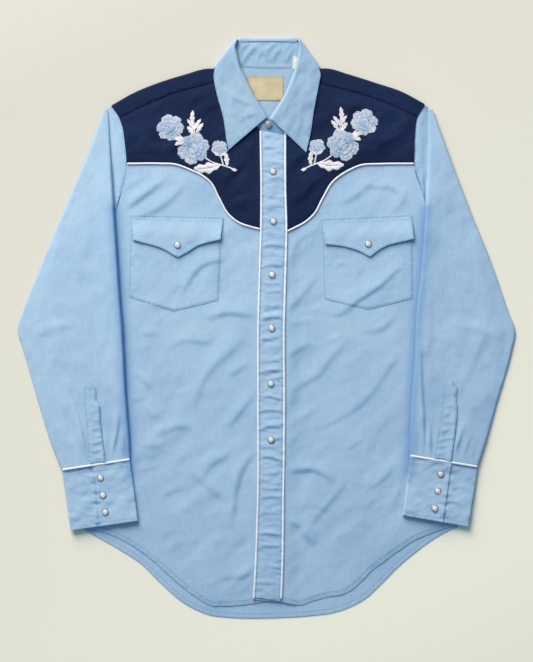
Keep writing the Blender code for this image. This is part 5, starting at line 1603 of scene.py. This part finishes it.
def make_cuff(side, word):
    """A cuff round the sleeve's end, from its hidden lower end, round behind, to its lap in front."""
    width = math.dist(CUFF_TOP[side][0], CUFF_TOP[side][1])
    fold, bulge = 1.3 / width, 0.7 / width
    rows = []
    low_end, high_end = BAND + CUFF_AIR, BAND + CUFF_AIR + LAYER
    for down in np.linspace(-CUFF_OVERHANG, 1, 42):
        lap_x = CUFF_LAP[side][0][0] * (1 - down) + CUFF_LAP[side][1][0] * down
        inner, outer = cuff_point(side, 0, down), cuff_point(side, 1, down)
        lap = (lap_x - inner[0]) / (outer[0] - inner[0])
        low = np.linspace(lap - CUFF_HIDDEN, 1 - fold, 26)
        turn = np.linspace(0, 1, 7)[1:-1]
        under = np.linspace(1 - fold, fold, 30)
        over = np.linspace(fold, lap, 28)
        shares = np.concatenate([low, 1 - fold + bulge * np.sin(np.pi * turn), under,
                                 fold - bulge * np.sin(np.pi * turn), over])
        wave = 0.5 - 0.5 * np.cos(np.pi * turn)
        rises = np.concatenate([np.full(26, low_end), low_end + (BAND - low_end) * wave, np.full(30, BAND),
                                BAND + (high_end - BAND) * wave, np.full(28, high_end)])
        spots = inner[None] + (outer - inner)[None] * shares[:, None]
        z = sleeve_base(spots[:, 0], spots[:, 1], side) + rises
        upper = np.concatenate([np.ones(26), 1 - wave, np.zeros(30), wave, np.ones(28)])
        edge = max(min(down, 1 - down), 0) * 82
        beside = np.abs(spots[:, 0] - lap_x)
        slant = spots[:, 0] * -0.5 * OUTWARD[side]
        ripple = (0.6 * patches(spots[:, 0] / 17, (spots[:, 1] - slant) / 11, 141 + side)
                  + 0.3 * patches(spots[:, 0] / 8, (spots[:, 1] + slant) / 5, 143 + side)
                  + (0.3 if down < 0.5 else 0.16) * puckers(edge, spots[:, 0], 145 + side, 6, 9)
                  + 1.2 * puckers(beside, spots[:, 1], 147 + side, 5, 9))
        rows.append(np.column_stack([spots, z + (ripple + cuff_lift(spots[:, 1], side)) * upper]))
    rows = np.array(rows)
    cloth = new_cloth()
    away, run = far_from_edges(rows, ("first_row", "last_row"))
    lap_away, lap_run = far_from_edges(rows, ("last_column",))
    at_lap = (lap_away < 3.2) & (lap_away < away)
    spread_rows(cloth, rows, np.where(at_lap, lap_away, away), np.where(at_lap, lap_run, run), CUFF_ROW)
    finish_cloth("cuff_" + word, cloth, sheet_size(rows), BLUE, BAND)
    surface = rows + (0, 0, BAND)
    for depth in (4, 39):
        blue_sewing.row(surface[depth, -27:-1])
        blue_sewing.row(surface[depth, 10:25])
    line = straight(CUFF_PIPING[side], 1.8)
    share = np.linspace(0, 1, len(line))
    z = (sleeve_base(line[:, 0], line[:, 1], side) + high_end + BAND + 0.2
         - 0.6 * (1 - ease(np.minimum(share, 1 - share) * width / 4)))
    piping("cuff_piping_" + word, line, z, CUFF_CORD, flat=0.55)
    for index, spot in enumerate(CUFF_SNAPS[side]):
        make_snap("cuff_snap_%s_%d" % (word, index + 1), spot,
                  lambda x, y: sleeve_base(x, y, side) + high_end + BAND + cuff_lift(y, side))


# --- collar ------------------------------------------------------------------------------------

STAND_SHARES = np.array([0.0, 0.34, 0.67, 1.0])


def fold_at(folds, side):
    """Both ends of the line where a part turns to the back, the way down it, and the way out."""
    top, foot = (np.array(p) for p in folds[side])
    down = (foot - top) / np.linalg.norm(foot - top)
    return top, foot, down, np.array((down[1], -down[0])) * -OUTWARD[side]


def half_stand(side):
    """Rows of the stand along one side of the neck, then round its turn to the back."""
    seams = (STAND_END[side],) + NECK_FRONT[side] + (STAND_NECK[side],)
    rows = []
    for top, seam in zip(STAND_TOP[side], seams):
        length = math.dist(top, seam)
        sink = STAND_SINK * min(max((top[1] - 368) / 16, 0), 1)
        rise = (STAND_HEIGHT - 2 * LAYER) * min(length / STAND_WIDTH, 1) - sink
        row = []
        for share in STAND_SHARES:
            spot = blend(blend(top, seam, NOSE / length), blend(seam, top, 0.3 / length), share)
            row.append((*spot, 2 * LAYER + lapped(spot[0], side) + rise * (1 - share)))
        rows.append(row)
    top, seam, _, outward = fold_at(STAND_FOLD, side)
    length = np.linalg.norm(seam - top)
    for rise, bulge in STAND_TURN:
        row = []
        for share in STAND_SHARES:
            spot = blend(blend(top, seam, NOSE / length), seam, share) + outward * bulge
            high = (STAND_HEIGHT - STAND_SINK) * (1 - share) + 3 * LAYER * share
            row.append((*spot, 3.0 + (high - 3.0) * rise))
        rows.append(row)
    return rows


def folded(left, back, right, turns, step):
    """Rows round the neck: smooth in each part, with a crease where a part turns under."""
    front = len(left) - turns
    parts = [left[:front + 1], left[front:], left[-1:] + back + right[-1:],
             right[front:][::-1], right[:front + 1][::-1]]
    rows = [refine(np.array(part), step if index % 2 == 0 else 0.7) for index, part in enumerate(parts)]
    return np.concatenate([rows[0]] + [part[1:] for part in rows[1:]])


def make_stand():
    """The collar's stand, round the neck."""
    left, right = half_stand(LEFT), half_stand(RIGHT)
    back = []
    for x, y in NECK_BACK[2:-2]:
        back.append([(x, STAND_BACK_TOP + (y - 1.6 - STAND_BACK_TOP) * share, 3.0 - 0.55 * share)
                     for share in STAND_SHARES])
    rows = refine(folded(left, back, right, len(STAND_TURN), 2.0), 1.8, 1)
    rows[:, :, 2] = np.maximum(rows[:, :, 2], 2.0)
    x, y = rows[:, :, 0], rows[:, :, 1]
    on_back = ease((y - 371) / 5) * ease((46 - np.abs(x - 2)) / 5) * ease((406.5 - y) / 3)
    rows[:, :, 2] += on_back * (1.6 * creased(x, y, STAND_CREASES, 0.8) + 0.45 * patches(x / 9, y / 11, 151))
    away, run = far_from_edges(rows)
    rows[:, :, 2] += 0.12 * puckers(away, run, 153, 6, 5)
    loft("collar_stand", rows, WALL, STAND_ROW)
    upper = rows + normals_of(rows) * 0.1
    half = len(rows) // 2
    for first, last, lift in ((half - 26, half + 26, WALL - 0.25), (3, 26, WALL), (-26, -3, WALL)):
        blue_sewing.row(upper[first:last, -2] + (0, 0, lift))


LEAF_SHARES = np.array([0.0, 0.1, 0.22, 0.4, 0.6, 0.8, 1.0])
# The leaf's inner edge rolls in and down: how far in and how far down, from its free edge outwards.
ROLL_IN = ((2.6, 2.9), (2.0, 1.7), (1.3, 0.7), (0.6, 0.15))


def leaf_row(roll, edge, side):
    """One row across the leaf, from its rolled inner edge to its outer edge."""
    roll, edge = np.array(roll, float), np.array(edge, float)
    inward = (roll - edge) / np.linalg.norm(roll - edge)
    high = LEAF_HEIGHT + lapped(roll[0], side)
    row = [(*(roll + inward * (across - 1.4)), high - down) for across, down in ROLL_IN]
    for share in LEAF_SHARES:
        spot = roll + (edge - roll) * share - inward * 1.4 * (1 - share)
        rest = LEAF_REST + lapped(spot[0], side)
        row.append((*spot, rest + max(high - rest, 0) * (1 - share) ** 0.9))
    return row


def half_leaf(side):
    """Rows of the leaf up one front, then round its turn to the back."""
    rows = [leaf_row(roll, edge, side) for roll, edge in zip(LEAF_ROLL[side], LEAF_EDGE[side])]
    top, corner, down, outward = fold_at(LEAF_FOLD, side)
    for rise, bulge in LEAF_TURN:
        row = []
        for across, drop in ROLL_IN:
            spot = top + outward * bulge - down * (across - 1.4) * 0.5
            row.append((*spot, (LEAF_HEIGHT - drop) * rise + (BAND + drop * 0.8) * (1 - rise)))
        for share in LEAF_SHARES:
            spot = top + (corner - top) * share + outward * bulge
            high = LEAF_HEIGHT * (1 - share) + LEAF_REST * share
            row.append((*spot, BAND + (high - BAND) * rise))
        rows.append(row)
    return rows


def make_leaf():
    """The collar's leaf: folded over on both fronts, flat behind the neck."""
    back = []
    for top_x, top_y, x, y in LEAF_BACK:
        row = [(top_x, top_y + over, z) for over, z in ((-3.5, 2.95), (-1.8, 2.9), (0.0, 2.8), (0.45, 1.9))]
        for share in LEAF_SHARES:
            spot = blend((top_x, top_y), (x, y - 1.0), share)
            row.append((*spot, BAND))
        back.append(row)
    rows = refine(folded(half_leaf(LEFT), back, half_leaf(RIGHT), len(LEAF_TURN), 2.2), 1.7, 1)
    rows[:, :, 2] = np.maximum(rows[:, :, 2], BAND)
    x, y, z = rows[:, :, 0], rows[:, :, 1], rows[:, :, 2]
    front = ease((z - 4) / 1.5)
    column = np.arange(rows.shape[1])[None] * np.ones((rows.shape[0], 1))
    outer = ease((column - 4) / 6)
    rise = (1.6 * creased(x, y, LEAF_CREASES, 1.6)
            + 0.55 * patches(x / 15, y / 18, 161) + 0.25 * patches(x / 7, y / 8, 163))
    rows[:, :, 2] += front * outer * rise
    free = ("first_row", "last_row", "last_column")
    away, run = far_from_edges(rows, free)
    rows[:, :, 2] += front * 0.12 * puckers(away, run, 165, 7, 6)
    loft("collar_leaf", rows, BAND, LEAF_ROW, free)
    upper = rows + normals_of(rows) * BAND
    count = len(rows)
    third = count // 2 - 22
    blue_sewing.row(upper[1:third, -2])
    blue_sewing.row(upper[-third:-1, -2])
    for end in (1, -2):
        blue_sewing.row(upper[end, 8:-2])
    blue_sewing.row(upper[count // 2 - 20:count // 2 + 20, 1] + (0, 0, -0.1))


# --- labels, snaps -----------------------------------------------------------------------------

def make_labels(lining):
    """The sewn label on the lining, and the small tab on the stand."""
    def on_lining(x, y):
        return lining(x, y) + WALL + 0.15 + 0.25 * patches(x / 17, y / 14, 171)

    def on_stand(x, y):
        return 4.1 + 0.25 * patches(x / 7, y / 7, 173)

    lay("label", outline(round_trip(LABEL, 2)), on_lining, CREAM, 1.6, RIBBON)
    label_sewing.on(inset(round_trip(LABEL, 1.5), LABEL_ROW), on_lining, RIBBON, pitch=2.2, length=1.6)
    lay("size_tab", outline(round_trip(SIZE_TAB, 2)), on_stand, WHITE_TAPE, 1.6, RIBBON)


# A snap's profile, from the middle of its cap to the middle of its foot: radius and height.
SNAP_PROFILE = ((0.0, 2.05), (1.4, 2.0), (2.6, 1.86), (3.5, 1.58), (4.0, 1.25), (4.1, 1.05), (4.2, 1.3),
                (4.45, 1.5), (4.8, 1.4), (5.1, 1.05), (5.25, 0.45), (5.1, 0.0), (0.0, 0.0))
CAP_EDGE = 4.1           # the cap's radius; the ring starts there
CAP_FOOT = 0.8           # nothing of the cap is lower


def make_snap(name, spot, height, dark=False):
    """A pearl cap in a metal ring, turned from its profile; a shaded snap takes a greyer cap and ring, as painted
    shade.
    """
    x, y = spot
    at = [float(height(np.array([x + dx]), np.array([y + dy]))[0])
          for dx, dy in ((0, 0), (4, 0), (-4, 0), (0, 4), (0, -4))]
    slope_x, slope_y = (at[1] - at[2]) / 8, (at[3] - at[4]) / 8
    base = max(at) - 0.15
    turned = bmesh.new()
    points = [turned.verts.new((r, 0, h)) for r, h in SNAP_PROFILE]
    edges = [turned.edges.new(pair) for pair in zip(points, points[1:])]
    bmesh.ops.spin(turned, geom=points + edges, cent=(0, 0, 0), axis=(0, 0, 1), angle=2 * math.pi,
                   steps=28, use_merge=True)
    bmesh.ops.remove_doubles(turned, verts=turned.verts[:], dist=1e-4)
    bmesh.ops.recalc_face_normals(turned, faces=turned.faces[:])
    for face in turned.faces:
        middle = face.calc_center_median()
        face.material_index = int(math.hypot(middle.x, middle.y) >= CAP_EDGE or middle.z < CAP_FOOT)
    bmesh.ops.scale(turned, vec=(SNAP, SNAP, 1), verts=turned.verts[:])
    mesh = mesh_of(name, turned)
    tilt = Vector((0, 0, 1)).rotation_difference(Vector((-slope_x, -slope_y, 1)))
    mesh.transform(tilt.to_matrix().to_4x4())
    mesh.transform(Matrix.Translation((x, y, base)))
    add_piece(name + "_cap", mesh, SHADED_SNAP if dark else PEARL, (name,))
    mesh.materials.append(SHADED_SNAP if dark else NICKEL)


def stand_snap_height(x, y):
    """Upper face of the stand's end."""
    return 4 * LAYER + STAND_SLOPE * (y - STAND_END[RIGHT][1]) + WALL - 0.4


# --- embroidery --------------------------------------------------------------------------------

def turned_about(centre, lean, x, y):
    """A place beside a centre, turned about it."""
    return (centre[0] + x * math.cos(lean) - y * math.sin(lean),
            centre[1] + x * math.sin(lean) + y * math.cos(lean))


class Embroidery:
    """Satin stitches of one flower spray, drawn in the left yoke's own place."""

    def __init__(self, seed):
        self.random = np.random.default_rng(seed)
        self.starts, self.ends, self.lift, self.shade, self.width = [], [], [], [], []

    def stitch(self, start, end, lift, shade, width=0.55):
        """One stitch: how high it lies, how pale its thread is, and how wide."""
        self.starts.append(start)
        self.ends.append(end)
        self.lift.append(lift)
        self.shade.append(shade)
        self.width.append(width)

    def petal(self, centre, angle, spread, inner, outer, tone, squash=(1.0, 0.0)):
        """One rounded petal in bands of overlapping stitches, with painted shade at its sides where it meets the next
        petal, and paler thread at its rim.
        """
        ratio, lean = squash

        def spot(turn, reach):
            return turned_about(centre, lean, math.cos(turn) * reach, math.sin(turn) * reach * ratio)

        whole = spread * outer / 0.55
        bands = ((inner / outer, 0.46, -0.02), (0.34, 0.72, 0.0), (0.6, 0.93, 0.03), (0.82, 1.0, 0.12))
        for low, high, shift in bands:
            rows = max(5, round(whole * (low + high) / 2))
            for k in range(rows):
                t = (k + 0.5) / rows
                side = abs(2 * t - 1)
                reach = outer * (1 - 0.25 * side ** 3 + 0.022 * math.sin(t * 19 + angle * 5))
                turn = angle + (t - 0.5) * spread + self.random.uniform(-0.012, 0.012)
                jitter = self.random.uniform(-0.045, 0.045)
                puff = 0.1 + 0.7 * (1 - side ** 4) * math.sin(math.pi * min(high, 0.93)) ** 0.5
                # Painted shade: the thread's tone is darker towards the petal's sides, between the petals.
                shade = tone + shift - 0.4 * side ** 6 + self.random.uniform(-0.18, 0.18)
                self.stitch(spot(turn, reach * (low + jitter)), spot(turn, reach * (high + jitter * 0.6)),
                            puff, shade, 0.66)

    def bowl(self, centre, length, width, lean, tone=0.24):
        """The cup of a flower seen from its side: satin stitches across, in a paler ring."""
        count = round(length / 0.5)
        for k in range(count):
            t = (k + 0.5) / count * 2 - 1
            half = width / 2 * math.sqrt(1 - t * t)
            ends = [turned_about(centre, lean, t * length / 2, y) for y in (-half, half)]
            self.stitch(*ends, 1.0, tone + 0.2 * t * t + self.random.uniform(-0.07, 0.07), 0.62)
        for k in range(44):
            turns = [2 * math.pi * (k + more) / 44 for more in (0, 1.25)]
            ends = [turned_about(centre, lean, math.cos(turn) * length / 2, math.sin(turn) * width / 2)
                    for turn in turns]
            self.stitch(*ends, 1.45, 0.82 + self.random.uniform(-0.1, 0.1), 0.9)

    def leaf(self, base, tip, width, bend=0.0, tone=0.86):
        """A pointed leaf, its stitches slanting out from the midrib."""
        base, tip = np.array(base, float), np.array(tip, float)
        along = tip - base
        length = np.linalg.norm(along)
        along /= length
        side = np.array((-along[1], along[0]))
        count = max(8, round(length / 0.55))

        def rib(t):
            """A place on the midrib."""
            return base + along * length * t + side * bend * math.sin(math.pi * t)

        for k in range(count):
            t = (k + 0.5) / count
            half = width / 2 * math.sin(math.pi * t ** 0.85) ** 0.75 * (1 + 0.2 * math.sin(t * 19))
            for sign in (1, -1):
                start = rib(min(t * 0.97, 1)) - side * sign * 0.8
                end = rib(min(t + 0.07, 1)) + side * sign * (half + self.random.uniform(-0.1, 0.3))
                self.stitch(tuple(start), tuple(end), 0.3, tone + self.random.uniform(-0.07, 0.06), 0.74)

    def stem(self, points, width, tone=0.9):
        """A narrow stem of slanting stitches."""
        line = refine(points, 0.55)
        for place, way in zip(line, directions(line)):
            side = np.array((-way[1], way[0])) * width / 2
            slant = way * width * 0.25
            self.stitch(tuple(place - side - slant), tuple(place + side + slant), 0.28,
                        tone + self.random.uniform(-0.06, 0.05))

    def knots(self, centre, radius, count, tone):
        """Small knots in a ring."""
        for k in range(count):
            turn = 2 * math.pi * k / count
            x, y = centre[0] + radius * math.cos(turn), centre[1] + radius * math.sin(turn)
            for way in (0.4, 1.9):
                dx, dy = 0.6 * math.cos(way + turn), 0.6 * math.sin(way + turn)
                self.stitch((x - dx, y - dy), (x + dx, y + dy), 1.9, tone, 1.1)

    def sew(self, name, height, place):
        """Lay every stitch on the yoke and make one mesh; place moves a flat point."""
        sides = []
        for points, share in ((self.starts, 0.55), (self.ends, 0.45)):
            points = place(np.array(points))
            sides.append(np.column_stack([points, height(*points.T) + WALL + np.array(self.lift) * share]))
        length = np.linalg.norm(sides[1] - sides[0], axis=1)
        threads(name, *sides, np.array(self.width), 0.14 + 0.035 * length, FLOWER_THREAD, self.shade)


# The middles of the blooms of the left spray.
MAIN_BLOOM = (-102.5, 254.0)
OUTER_BLOOM = (-136.5, 283.5)
SMALL_BLOOM = (-65.8, 249.5)
# Stems: points and width. Leaves: foot, tip, width and bend. The small bloom's sepals end with a tone.
STEMS = (
    (((-45, 224.2), (-52, 227.5), (-62, 230.5), (-75, 234.5), (-86, 241)), 2.6),
    (((-42.4, 222.6), (-47.0, 225.2)), 5.6),
    (((-60, 230), (-62.5, 238), (-65, 247)), 2.6),
    (((-116, 267), (-121, 272), (-127, 277)), 2.4),
    (((-100.5, 273), (-101.5, 284), (-103, 295)), 2.4),
)
LEAVES = (
    ((-63, 231.5), (-102, 226.0), 15.5, 2.6),
    ((-55, 229.0), (-57.5, 249.0), 7.4, -0.6),
    ((-103, 288), (-103.8, 308.0), 7.0, 1.0),
    ((-101.5, 281), (-92.4, 296.0), 6.0, 0.6),
    ((-102.2, 282), (-111.5, 295.5), 6.0, -0.6),
    ((-98.5, 275), (-89.0, 290.0), 6.6, 0.8),
    ((-102.5, 274), (-111.5, 285.5), 7.4, -0.8),
    ((-116, 268), (-131.0, 270.0), 7.5, 1.2),
    ((-115, 264), (-129.0, 259.5), 7.5, -0.8),
)
SEPALS = (
    ((-65.2, 243.0), (-66.0, 257.0), 8.5, 0.0, 0.42),
    ((-65.0, 243.5), (-57.0, 250.0), 4.6, -0.5, 0.8),
    ((-65.5, 243.5), (-74.5, 250.5), 4.6, 0.5, 0.8),
)


def draw_spray(seed):
    """Three blooms, a sprig of narrow leaves, two side leaves and a broad one on a curved stem."""
    spray = Embroidery(seed)
    for stem in STEMS:
        spray.stem(*stem)
    for leaf in LEAVES:
        spray.leaf(*leaf)
    for k in range(6):
        spray.petal(MAIN_BLOOM, math.radians(18 + 60 * k + 4 * math.sin(3.0 * k)), math.radians(66), 0.9,
                    23.0 + 1.4 * math.sin(2.3 * k), (0.42, 0.52, 0.3, 0.46, 0.54, 0.34)[k])
    spray.knots(MAIN_BLOOM, 2.3, 10, 1.0)
    spray.knots(MAIN_BLOOM, 0.8, 5, 0.7)
    for k in range(6):
        spray.petal(OUTER_BLOOM, math.radians(12 + 60 * k), math.radians(66), 1.0,
                    20.5 + 1.5 * math.sin(1.7 * k), 0.46 + 0.1 * math.sin(2.6 * k), (0.86, math.radians(38)))
    spray.bowl((-135.0, 281.0), 23.0, 10.5, math.radians(38))
    for x, y in ((-144.5, 283.5), (-141.5, 287.5), (-137.5, 290.0), (-133.0, 291.5), (-129.0, 291.0)):
        spray.knots((x, y), 0.6, 2, 0.98)
    for angle, reach in ((22, 12.0), (66, 16.0), (112, 16.5), (156, 12.5)):
        spray.petal(SMALL_BLOOM, math.radians(angle), math.radians(60), 0.6, reach, 0.44)
    for sepal in SEPALS:
        spray.leaf(*sepal)
    return spray


def make_embroidery():
    """The spray on the left yoke, and its mirror image on the right one."""
    def stay(points):
        return points

    def mirrored(points):
        x, y = (points - MAIN_BLOOM).T
        return np.stack(turned_about((108.8, 259.0), math.radians(4.5), -x, y), 1)

    draw_spray(201).sew("embroidery_left", lambda x, y: yoke_under(x, y, LEFT), stay)
    draw_spray(202).sew("embroidery_right", lambda x, y: yoke_under(x, y, RIGHT), mirrored)


make_back()
make_back_yoke()
lining_height = make_lining()
make_fronts()
make_yokes()
make_placket()
make_pockets()
make_sleeves()
make_stand()
make_leaf()
make_labels(lining_height)
for number, spot in enumerate(PLACKET_SNAPS):
    make_snap("placket_snap_%d" % (number + 1), spot, lambda x, y: placket_under(x, y) + WALL)
for number, word in enumerate(SIDES):
    make_snap("flap_snap_" + word, FLAP_SNAPS[number], lambda x, y: flap_under(x, y, number) + WALL)
make_snap("stand_snap", STAND_SNAP, stand_snap_height, True)
make_embroidery()
blue_sewing.sew("blue_stitches", BLUE_THREAD)
navy_sewing.sew("navy_stitches", NAVY_THREAD)
label_sewing.sew("label_stitches", LABEL_THREAD, 0.35)


# --- floor, lights and camera ------------------------------------------------------------------

FLOOR_HALF = 4.0
LAMP_PLACE = (-1.2, 2.73, 1.8)
LAMP_SIZE, LAMP_POWER, LAMP_COLOUR = 2.3, 167.0, (1.0, 0.905, 0.785)
SKY_COLOUR, SKY_STRENGTH = (0.58, 0.80, 1.0, 1), 0.35
CAMERA_PLACE = (0.0007, -0.0043, 3.0)
FIELD = 0.940            # metres of floor along the picture's long side
SENSOR = 36.0


def make_floor():
    """Plain paper, a little deeper towards the lamp."""
    grid = bmesh.new()
    bmesh.ops.create_grid(grid, x_segments=2, y_segments=2, size=FLOOR_HALF)
    mesh = mesh_of("floor", grid)
    finish = Finish("floor", Specular_IOR_Level=0.2)
    place = finish.place()
    mottle = finish.stretched(place, 9.0, 2.0, 0.4)
    across, up = finish.across_and_down(place)
    shade = (across * -0.45 + up * 0.93) * 1.1 + 0.5 + (mottle - 0.5) * 0.02
    finish.feed("Base Color", finish.mix(shade, colour(251, 248, 232), colour(206, 205, 197)))
    finish.feed("Roughness", mottle * 0.05 + 0.9)
    mesh.materials.append(finish.material)
    mesh.transform(Matrix.Translation((0, 0, -FLOOR_GAP * MM)))
    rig.stage(add_object("floor", mesh))


def make_lights():
    """One large warm lamp beyond the collar, and a pale blue sky."""
    world = bpy.data.worlds.new("studio")
    world.use_nodes = True
    sky = world.node_tree.nodes["Background"].inputs
    sky["Color"].default_value, sky["Strength"].default_value = SKY_COLOUR, SKY_STRENGTH
    bpy.context.scene.world = world
    key = bpy.data.lights.new("key", "AREA")
    key.shape, key.size, key.energy, key.color = "SQUARE", LAMP_SIZE, LAMP_POWER, LAMP_COLOUR
    lamp = add_object("key", key)
    lamp.location = LAMP_PLACE
    lamp.rotation_mode = "QUATERNION"
    lamp.rotation_quaternion = (-Vector(LAMP_PLACE)).to_track_quat("-Z", "Y")


def make_camera():
    """Straight above the shirt."""
    lens = bpy.data.cameras.new("camera")
    lens.sensor_width = SENSOR
    lens.lens = SENSOR * CAMERA_PLACE[2] / FIELD
    lens.clip_end = 20.0
    camera = add_object("camera", lens)
    camera.location = CAMERA_PLACE
    bpy.context.scene.camera = camera


make_floor()
make_lights()
make_camera()
bpy.context.scene.view_settings.view_transform = "Standard"
bpy.context.scene.view_settings.look = "Medium High Contrast"

low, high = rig.bounds()
with open("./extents.json", "w") as sizes:
    json.dump({"cad": [list(cad_low), list(cad_high)], "visual": [list(low), list(high)]}, sizes)
